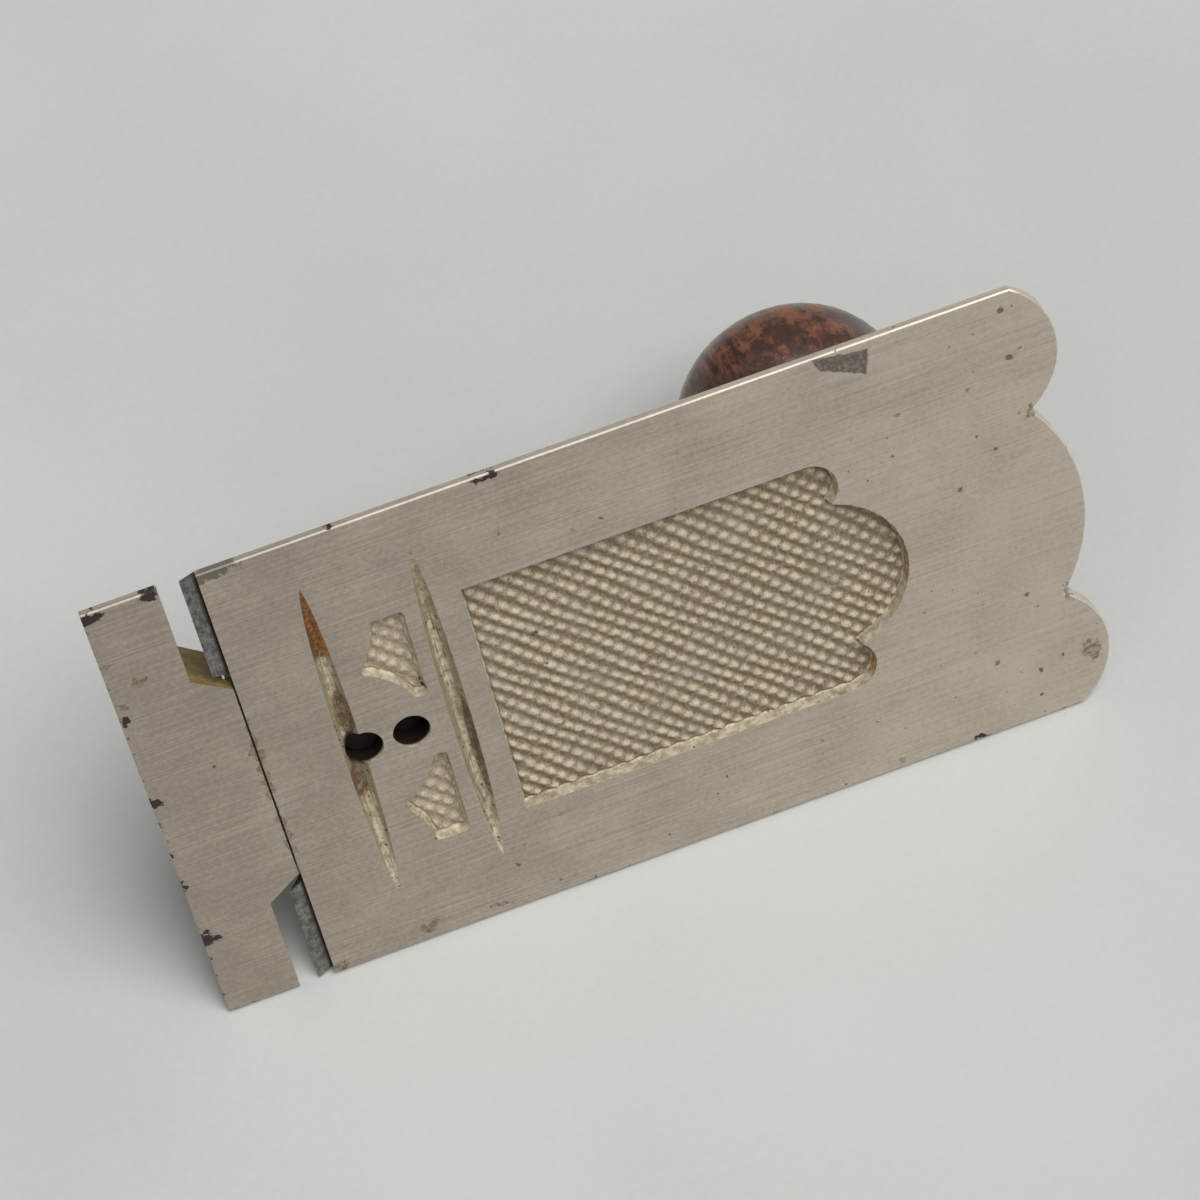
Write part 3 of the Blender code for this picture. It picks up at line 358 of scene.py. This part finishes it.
def plate_frame(frame):
    """The plane's own frame in metres: on the sole's centre line at the toe, z out of the sole."""
    mount = next(m for m in frame["record"]["mounts"] if m["name"] == "sole_face")
    out = Vector(mount["axis"])
    along = Vector((1.0, 0.0, 0.0))
    matrix = Matrix((along, out.cross(along), out)).transposed().to_4x4()
    matrix.translation = (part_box("nose_piece")[0].x, mount["pos_m"][1], mount["pos_m"][2])
    return matrix


def plate_point(look, plate):
    """The shaded point in the plane's own frame, in millimetres; it rides with its body."""
    place = look.node('ShaderNodeTexCoord')
    made = look.node('ShaderNodeMapping', vector_type='TEXTURE')
    made.inputs["Location"].default_value = plate.translation
    made.inputs["Rotation"].default_value = plate.to_euler('XYZ')
    made.inputs["Scale"].default_value = (MM, MM, MM)
    look.feed(made.inputs["Vector"], place.outputs["Object"])
    return made.outputs[0]


def smoothing_nodes():
    """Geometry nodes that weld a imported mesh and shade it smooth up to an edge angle."""
    tree = bpy.data.node_groups.new("weld_and_smooth", 'GeometryNodeTree')
    for direction in ('INPUT', 'OUTPUT'):
        tree.interface.new_socket("Geometry", in_out=direction, socket_type='NodeSocketGeometry')
    start = tree.nodes.new('NodeGroupInput')
    bare = tree.nodes.new('GeometryNodeRemoveAttribute')
    bare.inputs["Name"].default_value = "custom_normal"
    weld = tree.nodes.new('GeometryNodeMergeByDistance')
    weld.inputs["Distance"].default_value = WELD_DISTANCE
    faces = tree.nodes.new('GeometryNodeSetShadeSmooth')
    angle = tree.nodes.new('GeometryNodeInputMeshEdgeAngle')
    below = tree.nodes.new('FunctionNodeCompare')
    below.operation = 'LESS_THAN'
    below.inputs[1].default_value = math.radians(SMOOTH_ANGLE_DEG)
    edges = tree.nodes.new('GeometryNodeSetShadeSmooth')
    edges.domain = 'EDGE'
    end = tree.nodes.new('NodeGroupOutput')
    chain = (start, bare, weld, faces, edges, end)
    for before, after in zip(chain, chain[1:]):
        tree.links.new(before.outputs[0], after.inputs[0])
    tree.links.new(angle.outputs["Unsigned Angle"], below.inputs[0])
    tree.links.new(below.outputs[0], edges.inputs["Shade Smooth"])
    return tree


# Cross-hatch in the pockets

def floor_border(node, plate, depth, side=0):
    """Border segments, in plan, of the flat pocket floors at one depth.

    A side of 1 or -1 keeps only those above or below y = 0.
    """
    to_plate = plate.inverted()
    points = []
    for vertex in node.data.vertices:
        points.append(tuple(round(value / MM, 3) for value in to_plate @ vertex.co))
    uses = {}
    for polygon in node.data.polygons:
        corners = [points[index] for index in polygon.vertices]
        level = all(abs(corner[2] + depth) < DEPTH_TOLERANCE for corner in corners)
        wanted = all(corner[1] * side >= 0 for corner in corners)
        if level and wanted and polygon.normal.dot(plate.col[2].xyz) > FACING_OUT:
            for pair in zip(corners, corners[1:] + corners[:1]):
                key = tuple(sorted(corner[:2] for corner in pair))
                uses[key] = uses.get(key, 0) + 1
    return np.array([key for key, count in uses.items() if count == 1])


def inside_distance(points, border):
    """Distance from plan points to a border, positive inside it."""
    start = border[:, 0]
    span = border[:, 1] - start
    offset = points[:, None, :] - start
    share = np.clip((offset * span).sum(2) / (span ** 2).sum(1), 0.0, 1.0)
    gap = np.linalg.norm(offset - share[..., None] * span, axis=2).min(1)
    y = points[:, 1][:, None]
    crossed = (start[:, 1] > y) != (border[:, 1, 1] > y)
    rise = np.where(span[:, 1] == 0.0, 1.0, span[:, 1])
    ahead = points[:, 0][:, None] < start[:, 0] + (y - start[:, 1]) * span[:, 0] / rise
    return np.where((crossed & ahead).sum(1) % 2 == 1, gap, -gap)


def blended_chance(row, place, chance):
    """Values of a random table, one at each whole row and place, blended smoothly between them."""
    size = chance.shape[0]
    i, j = np.floor(row).astype(int), np.floor(place).astype(int)
    f, g = (share * share * (3 - 2 * share) for share in (row - i, place - j))
    near = chance[i % size, j % size] * (1 - f) + chance[(i + 1) % size, j % size] * f
    far = chance[i % size, (j + 1) % size] * (1 - f) + chance[(i + 1) % size, (j + 1) % size] * f
    return near * (1 - g) + far * g


def hatch_height(points, chance):
    """Height of the cross-hatch at plan points: uneven blunt pyramids, deepest between their rows."""
    x, y = points[:, 0], points[:, 1]
    wobbles = [HATCH_WOBBLE * np.sin(along_x * x + along_y * y) for along_x, along_y in HATCH_WAVES]
    row = (x + y + wobbles[0]) / math.sqrt(2) / HATCH_PITCH
    place = (y - x + wobbles[1]) / math.sqrt(2) / HATCH_PITCH
    odd = blended_chance(row, place, chance)
    across = 0.5 - 0.5 * np.cos(2 * math.pi * row)
    along = 0.5 - 0.5 * np.cos(2 * math.pi * place)
    span = np.clip((x - x.min()) / max(np.ptp(x), 1.0), 0.0, 1.0)
    cross = HATCH_CROSS_START + (HATCH_CROSS_END - HATCH_CROSS_START) * span
    shape = (across * (1 - cross * (1 - along))) ** HATCH_BLUNTNESS
    return HATCH_HEIGHT * shape * (1 - HATCH_UNEVEN * odd)


def make_hatch(name, body_node, plate, depth, look, side, share):
    """A thin closed slab that rises out of a pocket's floor as pyramids and reaches into its walls."""
    border = floor_border(body_node, plate, depth, side)
    low, high = border.min((0, 1)), border.max((0, 1))
    middle, reach = (low + high) / 2, np.linalg.norm(high - low) / 2
    step = HATCH_PITCH / HATCH_STEPS
    count = int(reach / step) + 1
    ticks = np.arange(-count, count + 1) * step
    u, v = (grid.ravel() for grid in np.meshgrid(ticks, ticks, indexing='ij'))
    points = np.stack((u - v, u + v), 1) / math.sqrt(2) + middle
    gap = inside_distance(points, border)
    random = np.random.default_rng(HATCH_SEED)
    rise = HATCH_LIFT + share * hatch_height(points, random.random((HATCH_TABLE, HATCH_TABLE)))
    rise += HATCH_GRAIN * (random.random(len(points)) - 0.5)
    fade = np.clip((gap + HATCH_REACH) / HATCH_EDGE, 0.0, 1.0)
    fade = fade * fade * (3 - 2 * fade)
    height = -depth - HATCH_SINK + (rise + HATCH_SINK) * fade

    bm = bmesh.new()
    size = len(ticks)
    made = {}

    def corner(index):
        if index not in made:
            spot = Vector((points[index, 0], points[index, 1], height[index])) * MM
            made[index] = bm.verts.new(plate @ spot)
        return made[index]

    for i in range(size - 1):
        for j in range(size - 1):
            ring = [i * size + j, (i + 1) * size + j, (i + 1) * size + j + 1, i * size + j + 1]
            if min(gap[index] for index in ring) > -HATCH_REACH:
                bm.faces.new([corner(index) for index in ring])
    top = list(bm.faces)
    under = bmesh.ops.extrude_face_region(bm, geom=top, use_keep_orig=True)["geom"]
    to_plate = plate.inverted()
    under_verts = [item for item in under if isinstance(item, bmesh.types.BMVert)]
    for vert in under_verts:
        spot = to_plate @ vert.co
        spot.z = -(depth + HATCH_BASE) * MM
        vert.co = plate @ spot
    under_faces = [item for item in under if isinstance(item, bmesh.types.BMFace)]
    under_edges = {edge for face in under_faces for edge in face.edges}
    bmesh.ops.dissolve_limit(bm, angle_limit=FLAT_ANGLE, verts=under_verts, edges=list(under_edges))
    bmesh.ops.recalc_face_normals(bm, faces=list(bm.faces))
    mesh = bpy.data.meshes.new(name)
    bm.to_mesh(mesh)
    bm.free()
    mesh.shade_smooth()
    mesh.set_sharp_from_angle(angle=math.radians(HATCH_CREASE_DEG))
    mesh.materials.append(look)
    piece = bpy.data.objects.new(name, mesh)
    bpy.context.scene.collection.objects.link(piece)
    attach(piece, "plane_body")


# Finishes

def ground_iron(look, at, grain):
    """Ground iron with fine lengthwise lines, pits, wear and a painted sheen that grows paler towards
    the heel: its colour, its marks and its lines.
    """
    x, y, z = look.parts(at)
    fine = look.noise(look.vector('MULTIPLY', at, GROUND_LINES), 1.0, 4.0, 0.65)
    mottle = look.noise(at, 1.3, 5.0, 0.7)
    cloud = look.noise(at, 0.09, 4.0, 0.6)
    sheen_and_pits_ramp = look.less(x, SHEEN_AND_PITS_FROM)
    # painted sheen: the shade term grows towards the heel
    shade = look.weigh((fine, 0.50), (mottle, 0.34), (cloud, 0.28), (sheen_and_pits_ramp, 0.0015))
    colour = look.mix(look.rise(shade, 0.34, 0.80), IRON_DARK, IRON_LIGHT)

    ragged = look.times(look.less(grain, 0.5), 1.9)
    patchy = look.rise(look.weigh((look.noise(at, 0.05, 3.0, 0.6), 1.0), (sheen_and_pits_ramp, 0.0020)), 0.49, 0.64)
    strayed = look.warp(at, 0.55, 3.4)
    frayed = look.warp(at, 1.6, 1.1)
    pits = look.times(look.specks(frayed, 2.1, 0.36, 0.40), patchy)
    heel = look.times(look.specks(frayed, 3.4, 0.75, 0.42), look.rise(x, *HEEL_PITS))
    pits = look.most(pits, look.most(heel, look.specks(frayed, 5.2, 0.45, 0.20)))
    dust = look.times(look.specks(at, 1.0, 0.15, 0.30), look.rise(patchy, 0.0, 1.0, 0.25, 0.9))
    nicks = look.blots(strayed, ragged, NICKS)
    to_edge = look.most(look.fall(x, *TOE_EDGE), look.fall(y, *LOWER_EDGE))
    chipped = look.rise(look.noise(at, 0.5, 5.0, 0.75), 0.55, 0.63)
    nicks = look.most(nicks, look.times(to_edge, chipped))
    patch_x, patch_y, _ = look.parts(look.warp(at, 1.3, 0.7))
    patch = look.times(look.rise(z, *PATCH_TOP), look.rise(mottle, 0.36, 0.56, 0.55, 0.90))
    for along_x, along_y, least in PATCH_SIDES:
        inside = look.weigh((patch_x, along_x), (patch_y, along_y))
        patch = look.times(patch, look.rise(inside, least - PATCH_BLUR, least + PATCH_BLUR))
    worn = look.most(look.times(look.blots(strayed, ragged, WORN), 0.75), patch)
    stains = look.times(look.blots(strayed, ragged, STAINS), look.rise(mottle, 0.40, 0.60, 0.25, 0.85))
    colour = look.mix(stains, colour, STAIN)
    colour = look.mix(worn, colour, IRON_WORN)
    colour = look.mix(look.times(dust, 0.6), colour, RUST_BROWN)
    colour = look.mix(look.times(pits, 0.85), colour, RUST_BROWN)
    colour = look.mix(nicks, colour, NICK_AND_SHADOW)
    marks = look.most(pits, look.most(nicks, stains))
    return colour, marks, fine


def cast_lacquer(look, at, grain, recess, behind):
    """Lacquered casting, soiled and rusty in the grooves, near black with rust and painted shade in the
    holes: colour and grain.
    """
    x, _, z = look.parts(at)
    coarse = look.noise(at, 0.9, 5.0, 0.65)
    colour = look.mix(look.rise(coarse, 0.34, 0.66), look.mix(behind, CAST_TAN, CAST_GREY), CAST_CREAM)
    grime = look.rise(look.noise(at, 0.22, 5.0, 0.7), 0.52, 0.70)
    colour = look.mix(look.times(grime, 0.40), colour, GRIME)

    streaks = look.noise(look.vector('MULTIPLY', at, GROOVE_STREAKS), 1.0, 4.0, 0.7)
    gaps = [look.number('ABSOLUTE', look.less(x, place)) for place in GROOVES]
    to_groove = look.number('MINIMUM', *gaps)
    in_groove = look.fall(to_groove, *GROOVE_EDGE)
    side = look.rise(look.weigh((to_groove, 1.0), (streaks, 2.2)), 1.35, 2.05, 0.0, 0.85)
    colour = look.mix(look.times(in_groove, side), colour, GROOVE_OLIVE)
    streaked = look.rise(streaks, 0.56, 0.66, 0.0, 0.6)
    colour = look.mix(look.times(in_groove, streaked), colour, GRIME)
    black = look.specks(at, 1.1, 0.26, 0.50)
    colour = look.mix(look.times(black, 0.8), colour, GRIME)
    peppered = look.times(in_groove, look.specks(look.warp(at, 2.0, 0.5), 0.75, 0.30, 0.55))
    colour = look.mix(look.times(peppered, 0.85), colour, GRIME)

    ragged = look.times(look.less(grain, 0.5), 0.5)
    olive = look.blots(at, ragged, (OLIVE_STRETCH,))
    olive = look.times(olive, look.rise(coarse, 0.36, 0.60, 0.90, 0.45))
    colour = look.mix(look.times(olive, in_groove), colour, GROOVE_OLIVE)
    soiled = look.times(look.blots(at, ragged, GROOVE_GRIME), look.rise(coarse, 0.36, 0.56, 0.25, 0.88))
    colour = look.mix(look.times(soiled, in_groove), colour, RUST_BROWN)
    brighter = look.weigh((grain, 1.0), (look.less(x, GROOVES[0]), 0.10))
    rust = look.mix(look.rise(brighter, 0.42, 0.62), RUST_BROWN, RUST_ORANGE)
    rusted = look.blots(at, ragged, (ORANGE_STRETCH,))
    edge_rust = look.times(look.blots(at, ragged, EDGE_RUST), look.rise(grain, 0.40, 0.60, 0.20, 0.85))
    edge_rust = look.times(edge_rust, look.rise(z, *EDGE_RUST_TOP))
    colour = look.mix(look.times(edge_rust, recess), colour, rust)
    colour = look.mix(look.times(rusted, recess), colour, rust)
    neck = look.times(look.rise(x, *NECK_FRONT), look.fall(x, *NECK_SEAM))
    colour = look.mix(look.times(neck, look.rise(coarse, 0.3, 0.7, 1.0, 0.85)), colour, NECK_TAN)
    colour = look.mix(look.times(look.blots(at, ragged, PITS), recess), colour, GRIME)
    # holes: rust and painted shade, near black below their rims
    hole_shade = look.times(look.blots(at, 0.0, HOLES), look.fall(z, *HOLE_TOP))
    return look.mix(hole_shade, colour, HOLE_RUST_AND_SHADE), coarse


def casting_look(plate):
    """Ground iron on the sole and rims, with wear; lacquered casting in the recesses and behind."""
    look = Look("ground_casting")
    at = plate_point(look, plate)
    x, y, z = look.parts(at)
    normal = look.node('ShaderNodeNewGeometry').outputs["Normal"]
    facing = look.vector('DOT_PRODUCT', normal, tuple(plate.col[2].xyz), output=1)
    low = look.fall(z, *RECESS_TOP)
    in_length = look.times(look.rise(x, *RECESS_TOE), look.fall(x, *RECESS_HEEL))
    in_width = look.fall(look.number('ABSOLUTE', y), *RECESS_SIDES)
    recess = look.times(low, look.times(in_length, in_width))
    behind = look.most(look.fall(facing, *BACK_FACING), look.fall(z, *BACK_DEPTH))
    cast = look.most(recess, behind)

    grain = look.noise(at, 1.4, 6.0, 0.75)
    iron, marks, fine = ground_iron(look, at, grain)
    lacquer, coarse = cast_lacquer(look, at, grain, recess, behind)
    colour = look.mix(cast, iron, lacquer)
    iron_rough = look.plus(look.rise(fine, 0.3, 0.7, 0.40, 0.52), look.times(marks, 0.25))
    roughness = look.rise(cast, 0.0, 1.0, iron_rough, 0.58)
    wall = look.fall(facing, *WALL_FACING)
    iron_metal = look.times(look.rise(marks, 0.0, 1.0, 0.80, 0.10), look.rise(wall, 0.0, 1.0, 1.0, 0.4))
    metallic = look.rise(cast, 0.0, 1.0, iron_metal, 0.10)
    iron_height = look.weigh((fine, 0.10), (marks, -0.6))
    height = look.rise(cast, 0.0, 1.0, iron_height, coarse)
    return look.finish(colour, roughness, metallic, height, 0.08)


def hatch_look(plate, depth, soil_and_shade):
    """Cream cast floor: pale crests, dirt in the valleys, painted shade on the sides facing away from
    the light, grit and a few rust specks.
    """
    look = Look("pocket_cast_%d" % round(depth * 10))
    at = plate_point(look, plate)
    z = look.parts(at)[2]
    grain = look.noise(at, 2.2, 5.0, 0.7)
    cloud = look.noise(at, 0.16, 4.0, 0.6)
    level = look.weigh((z, 1.0), (look.less(grain, 0.5), 0.25))
    level = look.plus(level, depth - HATCH_LIFT)
    clean = look.rise(level, -0.06, 0.34, 1.0 - soil_and_shade / LARGE_POCKET_SOIL_AND_SHADE, 1.0)
    colour = look.mix(clean, HATCH_VALLEY, HATCH_CREST)
    normal = look.node('ShaderNodeNewGeometry').outputs["Normal"]
    towards_light = (HATCH_TOWARDS_LIGHT[0] * plate.col[0] + HATCH_TOWARDS_LIGHT[1] * plate.col[1]).xyz
    facing_light = look.vector('DOT_PRODUCT', normal, tuple(towards_light), output=1)
    # painted shade: sides facing away from the light are darkened
    colour = look.mix(look.rise(facing_light, -0.50, 0.15, soil_and_shade, 0.0), colour, HATCH_SHADE_AND_GRIT)
    grit = look.rise(look.noise(at, 4.2, 4.0, 0.75), 0.50, 0.64, 0.0, 0.62)
    colour = look.mix(grit, colour, HATCH_SHADE_AND_GRIT)
    colour = look.mix(look.rise(cloud, 0.48, 0.72, 0.0, 0.35), colour, CAST_GREY)
    black = look.specks(at, 1.9, 0.28, 0.38)
    colour = look.mix(look.times(black, 0.75), colour, GRIME)
    red = look.specks(at, 6.5, 0.75, 0.26)
    ragged = look.rise(grain, 0.40, 0.55)
    colour = look.mix(look.times(red, ragged), colour, RUST_BROWN)
    roughness = look.rise(level, 0.0, 0.4, 0.75, 0.60)
    sand = look.noise(at, 3.6, 4.0, 0.8)
    return look.finish(colour, roughness, 0.10, look.weigh((grain, 0.5), (sand, 0.8)), 0.17)


def cutter_look(plate):
    """Dark tool steel, mottled, with a few rust freckles and a painted shadow where it enters the body.
    """
    look = Look("cutter_steel")
    at = plate_point(look, plate)
    mottle = look.noise(at, 0.9, 6.0, 0.72)
    lines = look.noise(look.vector('MULTIPLY', at, CUTTER_LINES), 1.0, 3.0, 0.6)
    colour = look.mix(look.rise(mottle, 0.36, 0.66), CUTTER_DARK, CUTTER_GREY)
    colour = look.mix(look.rise(lines, 0.35, 0.75, 0.0, 0.4), colour, CUTTER_BRIGHT)
    freckles = look.specks(at, 1.7, 0.30, 0.25)
    colour = look.mix(look.times(freckles, 0.7), colour, RUST_BROWN)
    x = look.parts(at)[0]
    # painted shadow: a dark band where the body's edge would shade the cutter
    painted_shadow = look.times(look.rise(x, *CUTTER_SHADOW_FRONT), look.fall(x, *CUTTER_SHADOW_REAR))
    colour = look.mix(painted_shadow, colour, NICK_AND_SHADOW)
    freckles = look.most(freckles, painted_shadow)
    roughness = look.rise(mottle, 0.3, 0.7, 0.55, 0.34)
    metallic = look.rise(freckles, 0.0, 1.0, 0.9, 0.2)
    return look.finish(colour, roughness, metallic, look.plus(mottle, lines), 0.03)


def plated_look(name, plate, lines_along):
    """Worn nickel plate, yellowed, with dull patches and fine lines."""
    look = Look(name)
    at = plate_point(look, plate)
    lines = look.noise(look.vector('MULTIPLY', at, lines_along), 1.0, 3.0, 0.6)
    wear = look.noise(at, 0.35, 6.0, 0.7)
    colour = look.mix(look.rise(lines, 0.3, 0.7), NICKEL_DARK, NICKEL_BRIGHT)
    dull = look.rise(wear, 0.54, 0.66)
    colour = look.mix(look.times(dull, 0.7), colour, NICKEL_DULL)
    spots = look.specks(at, 2.2, 0.35, 0.25)
    colour = look.mix(look.times(spots, 0.8), colour, RUST_BROWN)
    roughness = look.rise(look.plus(dull, look.times(lines, 0.4)), 0.0, 1.4, 0.22, 0.52)
    metallic = look.rise(spots, 0.0, 1.0, 0.95, 0.2)
    return look.finish(colour, roughness, metallic, look.less(lines, spots), 0.02)


def steel_look(plate):
    """Plain turned steel, browned in places, and near black with rust and painted shade at the tips that
    show in the sole.
    """
    look = Look("screw_steel")
    at = plate_point(look, plate)
    fine = look.noise(at, 3.0, 4.0, 0.6)
    wear = look.noise(at, 0.5, 5.0, 0.7)
    colour = look.mix(fine, STEEL_DARK, STEEL_BRIGHT)
    brown = look.rise(wear, 0.52, 0.68)
    colour = look.mix(look.times(brown, 0.7), colour, STEEL_BROWN)
    # painted shade with rust: the tips deep in the holes are near black
    tip = look.rise(look.parts(at)[2], *SCREW_TIP)
    colour = look.mix(tip, colour, HOLE_RUST_AND_SHADE)
    brown = look.most(brown, tip)
    roughness = look.rise(brown, 0.0, 1.0, 0.32, 0.60)
    return look.finish(colour, roughness, look.rise(brown, 0.0, 1.0, 0.95, 0.4), fine, 0.02)


def brass_look(plate):
    """Dull brass with brown tarnish."""
    look = Look("nut_brass")
    at = plate_point(look, plate)
    fine = look.noise(at, 2.4, 4.0, 0.6)
    tarnish = look.rise(look.noise(at, 0.45, 5.0, 0.7), 0.45, 0.68)
    colour = look.mix(fine, BRASS_DARK, BRASS_BRIGHT)
    colour = look.mix(look.times(tarnish, 0.75), colour, BRASS_TARNISH)
    return look.finish(colour, look.rise(tarnish, 0.0, 1.0, 0.28, 0.50), 0.95, fine, 0.02)


def wood_look(plate):
    """Dark varnished hardwood: grain along the knob's axis, rubbed to bare orange-brown in spots, and a
    painted highlight of paler bare wood near one point.
    """
    look = Look("varnished_wood")
    at = plate_point(look, plate)
    grain = look.noise(look.vector('MULTIPLY', at, WOOD_GRAIN), 1.0, 5.0, 0.65)
    cloud = look.noise(at, 0.11, 5.0, 0.65)
    wear = look.noise(at, 0.28, 7.0, 0.75)
    colour = look.mix(look.rise(grain, 0.36, 0.66), WOOD_DARK, WOOD_RED)
    colour = look.mix(look.rise(cloud, 0.42, 0.62), colour, WOOD_CLOUD)
    to_highlight = look.vector('LENGTH', look.vector('SUBTRACT', at, KNOB_HIGHLIGHT_POINT), output=1)
    # painted highlight: bare, paler wood is more likely near the highlight point; elsewhere the rubbed
    # spots follow the wear noise
    worn_and_highlight = look.rise(look.plus(wear, look.rise(to_highlight, *HIGHLIGHT_REACH, 0.10, -0.04)), 0.50, 0.70)
    bare = look.mix(grain, WOOD_BARE_DARK, WOOD_BARE_PALE)
    colour = look.mix(look.times(worn_and_highlight, 0.8), colour, bare)
    roughness = look.rise(worn_and_highlight, 0.0, 1.0, 0.24, 0.42)
    look.shader.inputs["Coat Weight"].default_value = VARNISH_COAT
    look.shader.inputs["Coat Roughness"].default_value = VARNISH_ROUGHNESS
    return look.finish(colour, roughness, 0.0, look.less(grain, worn_and_highlight), 0.04)


def floor_look():
    """Plain pale painted surface, a little uneven."""
    look = Look("pale_floor")
    at = look.node('ShaderNodeTexCoord').outputs["Object"]
    cloud = look.noise(at, 7.0, 4.0, 0.55)
    fine = look.noise(at, 900.0, 2.0, 0.5)
    shade = look.weigh((cloud, 0.8), (fine, 0.2))
    colour = look.mix(look.rise(shade, 0.3, 0.7), FLOOR_DARKER, FLOOR_COLOUR)
    look.shader.inputs["Specular IOR Level"].default_value = FLOOR_SPECULAR
    return look.finish(colour, FLOOR_ROUGHNESS, 0.0, fine, 0.03)


# Stage

def make_floor():
    bm = bmesh.new()
    corners = ((-1, -1), (1, -1), (1, 1), (-1, 1))
    bm.faces.new([bm.verts.new((x * FLOOR_HALF, y * FLOOR_HALF, 0.0)) for x, y in corners])
    mesh = bpy.data.meshes.new("floor")
    bm.to_mesh(mesh)
    bm.free()
    mesh.materials.append(floor_look())
    floor = bpy.data.objects.new("floor", mesh)
    bpy.context.scene.collection.objects.link(floor)


def make_light():
    lamp = bpy.data.lights.new("soft_lamp", 'SUN')
    lamp.energy = SUN_STRENGTH
    lamp.angle = math.radians(SUN_SPREAD_DEG)
    sun = bpy.data.objects.new("soft_lamp", lamp)
    sun.rotation_euler = Vector(SUN_TOWARDS).to_track_quat('Z', 'Y').to_euler()
    bpy.context.scene.collection.objects.link(sun)
    world = bpy.data.worlds.new("pale_room")
    world.use_nodes = True
    nodes, links = world.node_tree.nodes, world.node_tree.links
    place = nodes.new('ShaderNodeTexCoord')
    parts = nodes.new('ShaderNodeSeparateXYZ')
    depth = nodes.new('ShaderNodeMapRange')
    depth.inputs["From Min"].default_value = -1.0
    height = nodes.new('ShaderNodeMapRange')
    height.inputs["From Min"].default_value = ROOM_TOP_START
    blends = [nodes.new('ShaderNodeMix') for _ in range(2)]
    for blend in blends:
        blend.data_type = 'RGBA'
    blends[0].inputs[6].default_value = (*ROOM_FRONT, 1.0)
    blends[0].inputs[7].default_value = (*ROOM_BACK, 1.0)
    blends[1].inputs[7].default_value = (*ROOM_TOP, 1.0)
    links.new(place.outputs["Generated"], parts.inputs[0])
    links.new(parts.outputs["Y"], depth.inputs["Value"])
    links.new(depth.outputs[0], blends[0].inputs[0])
    links.new(blends[0].outputs[2], blends[1].inputs[6])
    links.new(parts.outputs["Z"], height.inputs["Value"])
    links.new(height.outputs[0], blends[1].inputs[0])
    links.new(blends[1].outputs[2], nodes["Background"].inputs["Color"])
    bpy.context.scene.world = world


def make_camera():
    data = bpy.data.cameras.new("camera")
    data.lens = CAMERA_LENS
    data.sensor_width = CAMERA_SENSOR
    data.clip_start = CAMERA_NEAREST
    camera = bpy.data.objects.new("camera", data)
    camera.location = CAMERA_PLACE
    camera.rotation_euler = [math.radians(angle) for angle in CAMERA_TURN_DEG]
    bpy.context.scene.collection.objects.link(camera)
    bpy.context.scene.camera = camera


def dress(node, look, smoothing):
    """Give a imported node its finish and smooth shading."""
    node.data.materials.clear()
    node.data.materials.append(look)
    modifier = node.modifiers.new("smooth", 'NODES')
    modifier.node_group = smoothing
    flat = node.modifiers.new("keep_flats", 'WEIGHTED_NORMAL')
    flat.keep_sharp = True


def main():
    for obj in list(bpy.data.objects):
        bpy.data.objects.remove(obj, do_unlink=True)
    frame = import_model()
    nodes = frame["nodes"]
    plate = plate_frame(frame)

    steel = steel_look(plate)
    cutter = cutter_look(plate)
    casting = casting_look(plate)
    cap = plated_look("plated_cap", plate, CAP_LINES)
    thumbscrew = plated_look("plated_screw", plate, THUMBSCREW_LINES)
    finishes = {
        "body": casting, "nose_piece": casting, "nose_screw": steel, "nose_washer": steel,
        "cutter_upper": cutter, "cutter_lower": cutter, "lever_cap_upper": cap, "lever_cap_lower": cap,
        "cap_screw_upper": steel, "cap_screw_lower": steel,
        "thumbscrew_upper": thumbscrew, "thumbscrew_lower": thumbscrew,
        "knob": wood_look(plate), "knob_nut": brass_look(plate), "knob_stud": steel,
        "knob_washer": steel,
    }
    smoothing = smoothing_nodes()
    for name, look in finishes.items():
        dress(nodes[name], look, smoothing)

    small = hatch_look(plate, SMALL_POCKET_DEPTH, SMALL_POCKET_SOIL_AND_SHADE)
    large = hatch_look(plate, LARGE_POCKET_DEPTH, LARGE_POCKET_SOIL_AND_SHADE)
    hatches = (
        ("large_pocket_hatch", LARGE_POCKET_DEPTH, large, 0, 1.0),
        ("small_pocket_hatch_upper", SMALL_POCKET_DEPTH, small, 1, SMALL_POCKET_SHARE),
        ("small_pocket_hatch_lower", SMALL_POCKET_DEPTH, small, -1, SMALL_POCKET_SHARE),
    )
    for name, depth, look, side, share in hatches:
        make_hatch(name, nodes["body"], plate, depth, look, side, share)

    make_floor()
    make_light()
    make_camera()
    bpy.context.scene.view_settings.view_transform = 'Standard'


main()
